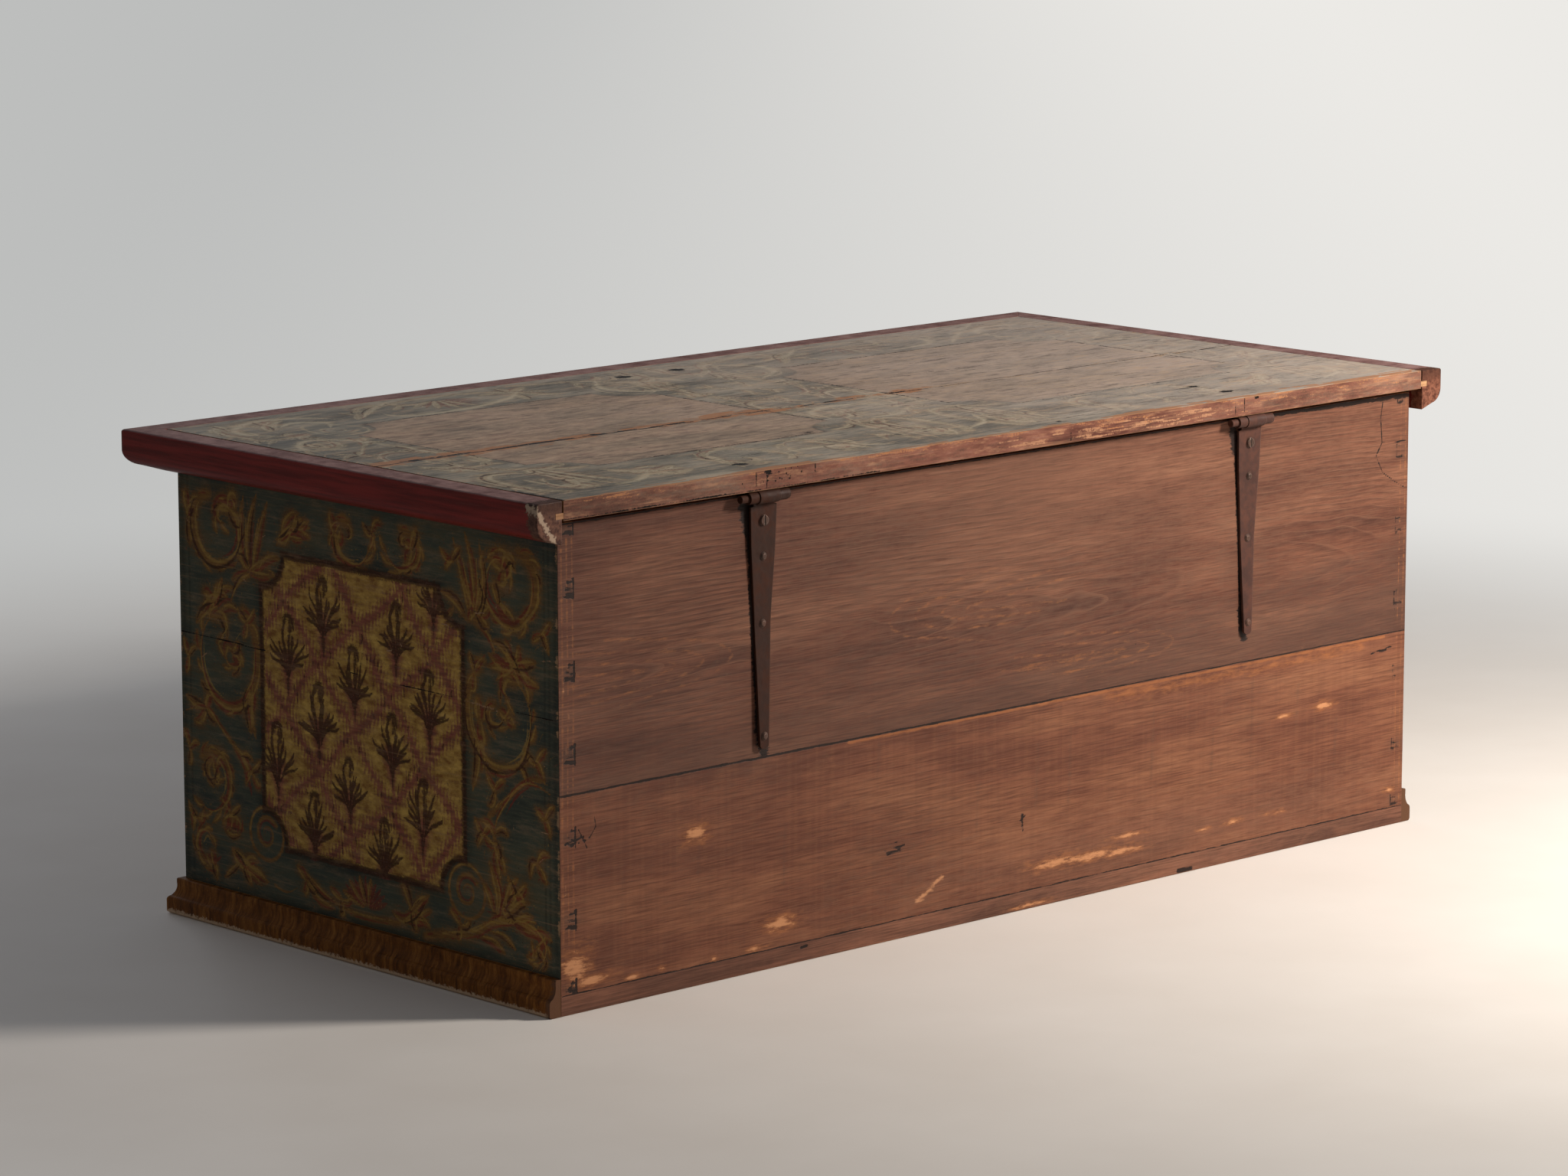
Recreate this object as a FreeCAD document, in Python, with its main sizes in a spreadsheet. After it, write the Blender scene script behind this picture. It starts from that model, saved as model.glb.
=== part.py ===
"""Painted wedding chest with a flat lid on two forged strap hinges.

Millimetres. The origin is on the floor under the middle of the box, +X runs along the chest to its
right-hand end as the user stands in front of it, the front faces -Y, the hinges are at +Y and +Z is up.
"""
import FreeCAD, Part
import math
import os
import Sketcher

doc = FreeCAD.newDocument("wedding_chest")
sheet = doc.addObject("Spreadsheet::Sheet", "Sheet")


# Driving sizes
SIZES = {
    # Box of six pairs of boards
    "chest_length": 1270,       # outside of the two ends
    "chest_depth": 606,         # outside of the front and back
    "rim_height": 500,          # floor to the rim that the lid closes on
    "board_thick": 20,
    "bottom_thick": 20,
    "back_drop": 5,             # the back is planed this much below the rim, for the hinge leaves
    "back_seam_rise": 2,        # halfway from the second whole pin to the third, to the joint
    "front_seam_rise": 10,      # the same in the front
    "end_seam_drop": 4,         # joint in the ends to halfway from the third pin to the fourth
    # Through dovetails at the four corners
    "pin_count": 5,
    "pin_first": 76,            # foot of the wall to the middle of the lowest whole pin
    "pin_last": 71,             # rim to the middle of the highest whole pin
    "pin_root_width": 22,       # widest, at the shoulder of the tails
    "pin_face_width": 14,       # narrowest, at the end of the tails
    "half_pin_width": 17,       # foot and rim, at the shoulder
    # Dowels in the long joints and pegs through the bottom
    "dowel_diameter": 8,
    "dowel_length": 50,
    "wall_dowel_spacing": 400,
    "end_dowel_spacing": 300,
    "peg_diameter": 9,
    "peg_bite": 30,             # into the walls above the bottom
    "peg_row_count": 4,
    "peg_end_margin": 90,
    "bottom_board_count": 3,
    # Ogee moulding around the foot
    "base_height": 38,
    "base_thick": 15,
    "base_foot_chamfer": 2,
    "base_face_height": 14,
    "base_nose_height": 19,
    "base_nose_inset": 3.5,
    "base_nose_radius": 5,
    "base_cove_height": 33,
    "base_cove_radius": 16,
    "base_ledge": 7,
    "base_top_chamfer": 1,
    # Till at the left-hand end
    "till_width": 135,
    "till_depth": 122,
    "till_drop": 8,             # rim to the top edge of the till
    "till_side_thick": 14,
    "till_bottom_thick": 12,
    "till_housing": 6,
    # Lid of two boards, tongued into its edge mouldings
    "lid_thick": 20,
    "lid_seam": 30,             # towards the back from the middle of the box
    "lid_back_overhang": 14,
    "lid_end_clear": 6,
    "lid_front_clear": 14,
    "tongue_thick": 6,
    "tongue_length": 8,
    "tongue_rise": 2,           # above the underside of the lid
    "tongue_end_gap": 0.5,
    "shoulder_gap": 2,          # what the boards have shrunk away from the mouldings
    "edge_width": 32,
    "edge_height": 44,
    "edge_slope_width": 18,
    "edge_slope_rise": 6,
    "edge_nose_height": 22,
    "edge_nose_radius": 16.5,
    "edge_top_round": 3,
    # Strap hinges
    "hinge_end_margin": 271,    # end of the box to the middle of a hinge
    "strap_thick": 3,
    "strap_top_gap": 2.4,       # wall to the strap under its eye
    "strap_tip_gap": 3,         # wall to the sprung tip
    "hinge_pin_diameter": 8,
    "hinge_pin_clear": 0.05,
    "eye_clear": 0.45,          # between the knuckle and the lid
    "knuckle_width": 28,
    "knuckle_gap": 0.3,
    "outer_eye_width": 12,
    "hinge_pin_tail": 10,
    "hinge_pin_head": 2,
    "hinge_pin_head_diameter": 11,
    "roll_slit": 0.6,
    "roll_slit_height": 5,
    "right_strap_length": 263,
    "left_strap_length": 241,
    "strap_shoulder_drop": 10,  # axis of the pin to the shoulders of the strap
    "strap_top_width": 36,
    "strap_mid_drop": 52,
    "strap_mid_width": 33,
    "strap_waist_drop": 122,
    "strap_waist_width": 23,
    "strap_tip_width": 12,
    "strap_tip_rise": 6,
    "strap_tip_radius": 7,
    "screw_drop": 25,           # axis of the pin to the screw
    "first_nail_drop": 62,
    "second_nail_drop": 131,
    "last_nail_rise": 16,       # tip of the strap to its last nail
    "lid_leaf_thick": 2,
    "lid_leaf_length": 205,     # from the back of the box inwards
    "lid_leaf_crank": 12,       # back of the box to where the leaf bends down to its eyes
    "lid_leaf_neck": 34,
    "lid_leaf_width": 34,
    "lid_leaf_first_nail": 30,
    "lid_leaf_nail_spacing": 50,
    "lid_leaf_nail_count": 4,
    # Nails and screws
    "nail_diameter": 4,
    "nail_head_diameter": 9,
    "nail_head_height": 2,
    "nail_head_top": 5,
    "head_clear": 0.1,          # under a head, because the bowed strap leans
    "screw_head_diameter": 12,
    "screw_head_height": 2.4,
    "screw_slot_width": 1.4,
    "screw_slot_depth": 1.2,
    # Lock inside the front
    "lock_plate_width": 160,
    "lock_plate_height": 112,
    "lock_plate_thick": 2.5,
    "lock_plate_drop": 12,      # rim to the top of the plate
    "lock_nail_inset": 9,
    "lock_nail_bite": 14,
    "case_width": 100,
    "case_height": 84,
    "case_back_land": 3,        # slot to the back of the case
    "case_wall": 2,
    "case_drop": 24,            # rim to the top of the case
    "case_slot_clear": 4,       # round the staple's loop
    "keyhole_drop": 64,         # rim to the middle of the key
    "keyhole_radius": 5.5,
    "keyhole_slot_width": 6,
    "keyhole_slot_drop": 18,
    "bolt_gap": 5,              # head of the drawn bolt to the staple's loop
    "bolt_past_staple": 7,      # loop to the head of the thrown bolt
    "bolt_tail": 4,             # past the farther guide when thrown
    "bolt_height": 10,
    "bolt_thick": 6,
    "bolt_rise": 13,            # middle of the key to the underside of the bolt
    "bolt_stand_off": 11,       # lock plate to the bolt
    "bolt_notch_width": 14,
    "bolt_notch_depth": 4,
    "guide_width": 6,
    "guide_wall": 3,
    "guide_clear": 0.3,
    "guide_inset": 4,           # head of the drawn bolt to the nearer guide
    "guide_spacing": 30,
    # Staple on the lid
    "staple_plate_width": 100,
    "staple_plate_depth": 30,
    "staple_plate_thick": 3,
    "staple_plate_clear": 2,
    "staple_nail_spacing": 80,
    "staple_offset": 28,        # middle of the lock to the middle of the loop
    "staple_width": 6,
    "staple_bar": 4,
    "staple_hole": 10,
    "staple_below_bolt": 1,
    "staple_corner": 3,
}


class Size:
    """A length that carries its number and the sheet expression it comes from."""

    def __init__(self, text, value):
        self.text = text
        self.value = float(value)

    @staticmethod
    def of(other):
        """Take a Size as it is and turn a plain number into one."""
        return other if isinstance(other, Size) else Size(f"({other})", other)

    def __add__(self, other):
        other = Size.of(other)
        return Size(f"({self.text} + {other.text})", self.value + other.value)

    def __sub__(self, other):
        other = Size.of(other)
        return Size(f"({self.text} - {other.text})", self.value - other.value)

    def __rsub__(self, other):
        return Size.of(other) - self

    def __mul__(self, other):
        other = Size.of(other)
        return Size(f"({self.text} * {other.text})", self.value * other.value)

    def __truediv__(self, other):
        other = Size.of(other)
        return Size(f"({self.text} / {other.text})", self.value / other.value)

    def __neg__(self):
        return Size(f"(-1 * {self.text})", -self.value)

    __radd__ = __add__
    __rmul__ = __mul__


def fill_sheet():
    """Write each driving size to its own cell and return them by name."""
    found = {}
    for row, (name, value) in enumerate(SIZES.items(), start=1):
        sheet.set(f"A{row}", name)
        sheet.set(f"B{row}", str(value))
        sheet.setAlias(f"B{row}", name)
        found[name] = Size(f"Sheet.{name}", value)
    doc.recompute()
    return found


s = fill_sheet()
MARGIN = Size.of(1)     # how far a cut runs past the face that it opens


class Ring:
    """A full circle in a sketch."""

    def __init__(self, x, y, radius):
        self.x = Size.of(x)
        self.y = Size.of(y)
        self.radius = Size.of(radius)


class Arc:
    """A corner that is reached along an arc: turn is 1 for anticlockwise, -1 for clockwise."""

    def __init__(self, x, y, radius, turn):
        self.point = (Size.of(x), Size.of(y))
        self.radius = Size.of(radius)
        self.turn = turn


def rectangle(x0, y0, x1, y1):
    """Four corners of an upright rectangle."""
    return [(x0, y0), (x1, y0), (x1, y1), (x0, y1)]


def constrain(sketch, kind, *where, size):
    """Add one driving dimension and bind it to the sheet."""
    index = sketch.addConstraint(Sketcher.Constraint(kind, *where, size.value))
    sketch.setExpression(f"Constraints[{index}]", size.text)


def add_ring(sketch, ring):
    """Draw a circle whose centre and radius follow the sheet."""
    centre = FreeCAD.Vector(ring.x.value, ring.y.value, 0)
    circle = Part.Circle(centre, FreeCAD.Vector(0, 0, 1), ring.radius.value)
    index = sketch.addGeometry(circle)
    constrain(sketch, "DistanceX", index, 3, size=ring.x)
    constrain(sketch, "DistanceY", index, 3, size=ring.y)
    constrain(sketch, "Radius", index, size=ring.radius)


def arc_between(start, end, radius, turn):
    """Return the short arc between two points, which always runs anticlockwise."""
    if turn < 0:
        start, end = end, start
    middle = (start + end) / 2
    chord = end - start
    height = math.sqrt(max(radius ** 2 - (chord.Length / 2) ** 2, 0))
    left = FreeCAD.Vector(-chord.y, chord.x, 0) / chord.Length
    centre = middle + left * height
    first = math.atan2(start.y - centre.y, start.x - centre.x)
    last = math.atan2(end.y - centre.y, end.x - centre.x)
    return Part.ArcOfCircle(Part.Circle(centre, FreeCAD.Vector(0, 0, 1), radius), first, last)


def add_loop(sketch, corners):
    """Draw a closed outline of lines and arcs whose corners follow the sheet."""
    points = []
    for corner in corners:
        x, y = corner.point if isinstance(corner, Arc) else corner
        points.append((Size.of(x), Size.of(y)))
    vectors = [FreeCAD.Vector(x.value, y.value, 0) for x, y in points]
    count = len(points)
    edges = []
    for i in range(count):
        j = (i + 1) % count
        target = corners[j]
        if isinstance(target, Arc):
            arc = arc_between(vectors[i], vectors[j], target.radius.value, target.turn)
            index = sketch.addGeometry(arc)
            ends = (1, 2) if target.turn > 0 else (2, 1)
            edges.append((index, ends, target.radius))
        else:
            index = sketch.addGeometry(Part.LineSegment(vectors[i], vectors[j]))
            edges.append((index, (1, 2), None))
    for i in range(count):
        index, ends, radius = edges[i]
        following, following_ends, _ = edges[(i + 1) % count]
        sketch.addConstraint(
            Sketcher.Constraint("Coincident", index, ends[1], following, following_ends[0]))
        constrain(sketch, "DistanceX", index, ends[0], size=points[i][0])
        constrain(sketch, "DistanceY", index, ends[0], size=points[i][1])
        if radius is not None:
            constrain(sketch, "Radius", index, size=radius)


def draw(body, plane, at, loops):
    """Make a sketch on one of the body's own planes, moved to the place `at` along its normal."""
    origin_plane = [o for o in body.Origin.OriginFeatures if o.Role == f"{plane}_Plane"][0]
    sketch = body.newObject("Sketcher::SketchObject", f"{body.Label}_sketch")
    sketch.AttachmentSupport = [(origin_plane, "")]
    sketch.MapMode = "FlatFace"
    lift = -Size.of(at) if plane == "XZ" else Size.of(at)
    sketch.setExpression("AttachmentOffset.Base.z", lift.text)
    for loop in loops:
        if isinstance(loop, Ring):
            add_ring(sketch, loop)
        else:
            add_loop(sketch, loop)
    return sketch


def pad(body, plane, at, loops, length):
    """Add material from `at` along the plane's normal: +Z, -Y or +X."""
    feature = body.newObject("PartDesign::Pad", f"{body.Label}_pad")
    feature.Profile = draw(body, plane, at, loops)
    feature.setExpression("Length", Size.of(length).text)
    return feature


def cut(body, plane, at, loops, length):
    """Take material away from `at` along the plane's normal: +Z, -Y or +X."""
    feature = body.newObject("PartDesign::Pocket", f"{body.Label}_cut")
    feature.Profile = draw(body, plane, at, loops)
    feature.Reversed = True
    feature.setExpression("Length", Size.of(length).text)
    return feature


def new_body(name):
    """Start a sub-part."""
    body = doc.addObject("PartDesign::Body", name)
    body.Label = name
    NODES.append(body)
    return body


def new_group(name, shapes):
    """Keep several equal loose solids as one sub-part."""
    group = doc.addObject("Part::Feature", name)
    group.Label = name
    group.Shape = Part.makeCompound(shapes)
    NODES.append(group)
    return group


NODES = []


def pin_middle(number):
    """Return the height of the middle of a whole pin, counted from 0 at the foot."""
    first = FOOT + s["pin_first"]
    steps = max(int(s["pin_count"].value) - 1, 1)
    return first + (RIM - s["pin_last"] - first) / steps * number


def above_pin(number):
    """Return the height halfway from a whole pin to the next one up."""
    return (pin_middle(number) + pin_middle(number + 1)) / 2


# Places that several pieces share
HALF_LENGTH = s["chest_length"] / 2
HALF_DEPTH = s["chest_depth"] / 2
THICK = s["board_thick"]
FOOT = s["bottom_thick"]                    # the walls stand on the bottom boards
RIM = s["rim_height"]
BACK_RIM = RIM - s["back_drop"]
INNER_END = HALF_LENGTH - THICK
INNER_FACE = HALF_DEPTH - THICK
SECOND_PIN = 1                              # counted from 0 at the foot
BACK_SEAM = above_pin(SECOND_PIN) + s["back_seam_rise"]
FRONT_SEAM = above_pin(SECOND_PIN) + s["front_seam_rise"]
END_SEAM = above_pin(SECOND_PIN + 1) - s["end_seam_drop"]
EYE_BORE = s["hinge_pin_diameter"] / 2 + s["hinge_pin_clear"]
KNUCKLE_RADIUS = EYE_BORE + s["strap_thick"]
LEAF_EYE_RADIUS = EYE_BORE + s["lid_leaf_thick"]
AXIS_Y = HALF_DEPTH + s["strap_top_gap"] + KNUCKLE_RADIUS
AXIS_Z = RIM - s["eye_clear"] - KNUCKLE_RADIUS
NAIL_RADIUS = s["nail_diameter"] / 2
HINGE_X = HALF_LENGTH - s["hinge_end_margin"]
HINGES = {
    "right": (HINGE_X, s["right_strap_length"]),
    "left": (-HINGE_X, s["left_strap_length"]),
}


# Dovetailed walls
def pin_heights(low, high, rim):
    """List the pins between two heights, as (shoulder low, high) and (face low, high)."""
    flare = (s["pin_root_width"] - s["pin_face_width"]) / 2
    found = []
    if low.value <= FOOT.value:
        top = FOOT + s["half_pin_width"]
        found.append((FOOT, top, FOOT, top - flare))
    for number in range(int(s["pin_count"].value)):
        middle = pin_middle(number)
        if low.value < middle.value < high.value:
            root = s["pin_root_width"] / 2
            face = s["pin_face_width"] / 2
            found.append((middle - root, middle + root, middle - face, middle + face))
    if high.value >= BACK_RIM.value:
        low_edge = RIM - s["half_pin_width"]
        found.append((low_edge, rim, low_edge + flare, rim))
    return found


def pin_outlines(low, high, rim, side):
    """Draw the pins' end grain, as it shows on the front or back face at one end of the chest."""
    root = INNER_END * side
    face = HALF_LENGTH * side
    outlines = []
    for root_low, root_high, face_low, face_high in pin_heights(low, high, rim):
        outlines.append([(root, root_low), (face, face_low), (face, face_high), (root, root_high)])
    return outlines


def wall_dowels():
    """Return where three dowels stand along the front, the back and the lid."""
    spacing = s["wall_dowel_spacing"]
    return [-spacing, Size.of(0), spacing]


def end_dowels():
    """Return where two dowels stand along an end."""
    return [-s["end_dowel_spacing"] / 2, s["end_dowel_spacing"] / 2]


def drill_up(body, at, centres, radius, depth):
    """Drill round holes that start at height `at` and run upwards."""
    rings = [Ring(x, y, radius) for x, y in centres]
    return cut(body, "XY", at, rings, depth)


def drill_seam(body, seam, is_upper, centres):
    """Drill the dowel holes of a horizontal joint in one of its two boards."""
    radius = s["dowel_diameter"] / 2
    reach = s["dowel_length"] / 2
    start = seam - MARGIN if is_upper else seam - reach
    return drill_up(body, start, centres, radius, reach + MARGIN)


def peg_columns():
    """Return where the pegs stand along the front and back."""
    count = int(s["peg_row_count"].value)
    start = -(HALF_LENGTH - s["peg_end_margin"])
    pitch = (start * -2) / (count - 1)
    return [start + pitch * k for k in range(count)]


def bottom_width():
    """Width of one bottom board."""
    return s["chest_depth"] / s["bottom_board_count"]


def bottom_lines():
    """Return the middle line of each bottom board."""
    count = int(s["bottom_board_count"].value)
    return [-HALF_DEPTH + bottom_width() * (k + 0.5) for k in range(count)]


def long_wall(name, low, high, rim, face_y, middle_y, seam, is_upper):
    """Make one board of the front or back, with the sockets that the end boards' pins fill."""
    body = new_body(name)
    top = rim if is_upper else high
    pad(body, "XZ", face_y, [rectangle(-HALF_LENGTH, low, HALF_LENGTH, top)], THICK)
    sockets = pin_outlines(FOOT, RIM, rim, 1) + pin_outlines(FOOT, RIM, rim, -1)
    cut(body, "XZ", face_y + MARGIN, sockets, THICK + MARGIN * 2)
    dowels = [(x, middle_y) for x in wall_dowels()]
    drill_seam(body, seam, is_upper, dowels)
    if not is_upper:
        pegs = [(x, middle_y) for x in peg_columns()]
        drill_up(body, FOOT - MARGIN, pegs, s["peg_diameter"] / 2, s["peg_bite"] + MARGIN)
    return body


def end_wall(name, low, high, side, is_upper):
    """Make one board of an end, with the pins that pass through the front and back."""
    body = new_body(name)
    face = INNER_END if side > 0 else -HALF_LENGTH
    pad(body, "YZ", face, [rectangle(-INNER_FACE, low, INNER_FACE, high)], THICK)
    pad(body, "XZ", HALF_DEPTH, pin_outlines(low, high, BACK_RIM, side), THICK)
    pad(body, "XZ", -INNER_FACE, pin_outlines(low, high, RIM, side), THICK)
    middle_x = (INNER_END + THICK / 2) * side
    dowels = [(middle_x, y) for y in end_dowels()]
    drill_seam(body, END_SEAM, is_upper, dowels)
    if not is_upper:
        pegs = [(middle_x, y) for y in bottom_lines()]
        drill_up(body, FOOT - MARGIN, pegs, s["peg_diameter"] / 2, s["peg_bite"] + MARGIN)
    return body


# Till housings
TILL_INSIDE = -(INNER_END - s["till_width"])            # face of the till side that looks into the till
TILL_OUTSIDE = TILL_INSIDE + s["till_side_thick"]
TILL_FLOOR = RIM - s["till_drop"] - s["till_depth"]     # top of the till bottom
TILL_UNDER = TILL_FLOOR - s["till_bottom_thick"]


def cut_till_housing(body, face_y):
    """Cut the stopped housing that holds the till's side and bottom, open at the rim."""
    top = RIM + MARGIN
    outline = [
        (-INNER_END, TILL_UNDER), (TILL_OUTSIDE, TILL_UNDER), (TILL_OUTSIDE, top),
        (TILL_INSIDE, top), (TILL_INSIDE, TILL_FLOOR), (-INNER_END, TILL_FLOOR),
    ]
    return cut(body, "XZ", face_y, [outline], s["till_housing"] + MARGIN)


def strap_nail_heights(strap_length):
    """Heights of the nails in a back strap."""
    return [
        AXIS_Z - s["first_nail_drop"],
        AXIS_Z - s["second_nail_drop"],
        AXIS_Z - strap_length + s["last_nail_rise"],
    ]


def strap_fixings(x, strap_length):
    """Holes of a back strap's screw and nails."""
    heights = [AXIS_Z - s["screw_drop"]] + strap_nail_heights(strap_length)
    return [Ring(x, z, NAIL_RADIUS) for z in heights]


def bore_for_straps(body, low, high):
    """Bore one back board for the screws and nails that go through it."""
    holes = []
    for x, length in HINGES.values():
        for ring in strap_fixings(x, length):
            if low.value - ring.radius.value < ring.y.value < high.value + ring.radius.value:
                holes.append(ring)
    if holes:
        cut(body, "XZ", HALF_DEPTH + MARGIN, holes, THICK + MARGIN * 2)


def keyhole_cuts(body, at, depth):
    """Cut a keyhole: a round eye with a slot below it."""
    middle = RIM - s["keyhole_drop"]
    half = s["keyhole_slot_width"] / 2
    cut(body, "XZ", at, [Ring(0, middle, s["keyhole_radius"])], depth)
    cut(body, "XZ", at, [rectangle(-half, middle - s["keyhole_slot_drop"], half, middle)], depth)


LOCK_PLATE_TOP = RIM - s["lock_plate_drop"]
LOCK_PLATE_LOW = LOCK_PLATE_TOP - s["lock_plate_height"]


def lock_nail_places():
    """Corners of the lock plate where its nails go."""
    across = s["lock_plate_width"] / 2 - s["lock_nail_inset"]
    return [
        (x, z) for x in (-across, across)
        for z in (LOCK_PLATE_LOW + s["lock_nail_inset"], LOCK_PLATE_TOP - s["lock_nail_inset"])
    ]


def make_walls():
    """Make the eight boards of the four walls."""
    middle = INNER_FACE + THICK / 2
    upper = long_wall("front_board_upper", FRONT_SEAM, RIM, RIM, -INNER_FACE, -middle,
                      FRONT_SEAM, True)
    cut_till_housing(upper, -INNER_FACE + MARGIN)
    keyhole_cuts(upper, -INNER_FACE + MARGIN, THICK + MARGIN * 2)
    lock_holes = [Ring(x, z, NAIL_RADIUS) for x, z in lock_nail_places()]
    cut(upper, "XZ", -INNER_FACE + MARGIN, lock_holes, s["lock_nail_bite"] + MARGIN)
    long_wall("front_board_lower", FOOT, FRONT_SEAM, RIM, -INNER_FACE, -middle, FRONT_SEAM, False)

    upper = long_wall("back_board_upper", BACK_SEAM, RIM, BACK_RIM, HALF_DEPTH, middle,
                      BACK_SEAM, True)
    cut_till_housing(upper, INNER_FACE + s["till_housing"])
    bore_for_straps(upper, BACK_SEAM, BACK_RIM)
    lower = long_wall("back_board_lower", FOOT, BACK_SEAM, BACK_RIM, HALF_DEPTH, middle,
                      BACK_SEAM, False)
    bore_for_straps(lower, FOOT, BACK_SEAM)

    for name, side in (("right", 1), ("left", -1)):
        end_wall(f"end_{name}_upper", END_SEAM, RIM, side, True)
        end_wall(f"end_{name}_lower", FOOT, END_SEAM, side, False)


def make_bottom():
    """Make the bottom boards, which the walls stand on, and bore them for the pegs."""
    radius = s["peg_diameter"] / 2
    lines = bottom_lines()
    names = ["front", "middle", "back"]
    end_x = INNER_END + THICK / 2
    wall_y = INNER_FACE + THICK / 2
    for k, line in enumerate(lines):
        label = names[k] if len(lines) == len(names) else str(k + 1)
        body = new_body(f"bottom_board_{label}")
        half = bottom_width() / 2
        outline = rectangle(-HALF_LENGTH, line - half, HALF_LENGTH, line + half)
        pad(body, "XY", 0, [outline], FOOT)
        centres = [(-end_x, line), (end_x, line)]
        if k == 0:
            centres += [(x, -wall_y) for x in peg_columns()]
        if k == len(lines) - 1:
            centres += [(x, wall_y) for x in peg_columns()]
        drill_up(body, -MARGIN, centres, radius, FOOT + MARGIN * 2)


def make_pegs_and_dowels():
    """Make the loose round pieces that hold the boards together."""
    up = FreeCAD.Vector(0, 0, 1)
    radius = s["dowel_diameter"].value / 2
    length = s["dowel_length"].value
    end_x = (INNER_END + THICK / 2).value
    wall_y = (INNER_FACE + THICK / 2).value
    dowels = []
    for y, seam in ((-wall_y, FRONT_SEAM), (wall_y, BACK_SEAM)):
        for x in wall_dowels():
            foot = FreeCAD.Vector(x.value, y, seam.value - length / 2)
            dowels.append(Part.makeCylinder(radius, length, foot, up))
    for x in (-end_x, end_x):
        for y in end_dowels():
            foot = FreeCAD.Vector(x, y.value, END_SEAM.value - length / 2)
            dowels.append(Part.makeCylinder(radius, length, foot, up))
    new_group("wall_dowels", dowels)

    peg_radius = s["peg_diameter"].value / 2
    peg_length = (FOOT + s["peg_bite"]).value
    places = [(x.value, y) for x in peg_columns() for y in (-wall_y, wall_y)]
    places += [(x, y.value) for x in (-end_x, end_x) for y in bottom_lines()]
    pegs = []
    for x, y in places:
        pegs.append(Part.makeCylinder(peg_radius, peg_length, FreeCAD.Vector(x, y, 0), up))
    new_group("bottom_pegs", pegs)


def make_till():
    """Make the open till: a side across the chest and a bottom, both housed in the walls."""
    reach = INNER_FACE + s["till_housing"]
    side = new_body("till_side")
    outline = rectangle(TILL_INSIDE, TILL_UNDER, TILL_OUTSIDE, RIM - s["till_drop"])
    pad(side, "XZ", reach, [outline], reach * 2)
    bottom = new_body("till_bottom")
    outline = rectangle(-INNER_END, TILL_UNDER, TILL_INSIDE, TILL_FLOOR)
    pad(bottom, "XZ", reach, [outline], reach * 2)


# Mouldings
def base_profile(place):
    """Section of the foot moulding: place turns (distance out, height) into sketch points."""
    top = s["base_height"]
    out = s["base_thick"]
    foot = s["base_foot_chamfer"]
    round_off = s["base_top_chamfer"]
    nose = out - s["base_nose_inset"]
    turn = place.turn
    return [
        place(0, 0), place(out - foot, 0), place(out, foot), place(out, s["base_face_height"]),
        Arc(*place(nose, s["base_nose_height"]), s["base_nose_radius"], turn),
        Arc(*place(s["base_ledge"], s["base_cove_height"]), s["base_cove_radius"], -turn),
        place(s["base_ledge"], top - round_off), place(s["base_ledge"] - round_off, top),
        place(0, top),
    ]


def lid_edge_profile(place):
    """Section of the lid's edge moulding, with the groove that takes the lid's tongue."""
    out = s["edge_width"]
    top = s["edge_height"]
    soft = s["edge_top_round"]
    groove = s["tongue_length"] + s["tongue_end_gap"]
    groove_low = top - s["lid_thick"] + s["tongue_rise"]
    groove_high = groove_low + s["tongue_thick"]
    turn = place.turn
    return [
        place(0, 0), place(s["edge_slope_width"], s["edge_slope_rise"]),
        Arc(*place(out, s["edge_nose_height"]), s["edge_nose_radius"], turn),
        place(out, top - soft), Arc(*place(out - soft, top), soft, turn), place(0, top),
        place(0, groove_high), place(groove, groove_high), place(groove, groove_low),
        place(0, groove_low),
    ]


class Place:
    """Lays a moulding's section down: distance out from `inner` on one side, height above `base`."""

    def __init__(self, inner, base, side):
        self.inner = inner
        self.base = Size.of(base)
        self.side = side
        self.turn = side

    def __call__(self, out, height):
        return (self.inner + out) * self.side, self.base + height


def mitre_outline(inner_x, inner_y, width, side, keep_end):
    """Triangle that cuts a mitre at a front corner off the end piece or off the front piece."""
    near_x = (inner_x - MARGIN) * side
    far_x = (inner_x + width + MARGIN) * side
    near_y = -(inner_y - MARGIN)
    far_y = -(inner_y + width + MARGIN)
    third = (near_x, far_y) if keep_end else (far_x, near_y)
    return [(near_x, near_y), (far_x, far_y), third]


def moulding_set(prefix, profile, inner_x, inner_y, back_y, base, width, height):
    """Make a front piece and two end pieces, mitred where they meet."""
    mitre_start = Size.of(base) - MARGIN
    mitre_height = height + MARGIN * 2
    front = new_body(f"{prefix}_front")
    reach = inner_x + width
    section = profile(Place(inner_y, base, -1))
    pad(front, "YZ", -reach, [section], reach * 2)
    for side in (1, -1):
        outline = mitre_outline(inner_x, inner_y, width, side, False)
        cut(front, "XY", mitre_start, [outline], mitre_height)
    for name, side in (("right", 1), ("left", -1)):
        body = new_body(f"{prefix}_{name}")
        section = profile(Place(inner_x, base, side))
        pad(body, "XZ", back_y, [section], back_y + inner_y + width)
        outline = mitre_outline(inner_x, inner_y, width, side, True)
        cut(body, "XY", mitre_start, [outline], mitre_height)


# Lid
LID_TOP = RIM + s["lid_thick"]
LID_BACK = HALF_DEPTH + s["lid_back_overhang"]
EDGE_INNER_X = HALF_LENGTH + s["lid_end_clear"]
EDGE_INNER_Y = HALF_DEPTH + s["lid_front_clear"]


def staple_middle_y():
    """Where the loop hangs, in line with the bolt."""
    return -INNER_FACE + s["lock_plate_thick"] + s["bolt_stand_off"] + s["bolt_thick"] / 2


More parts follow.
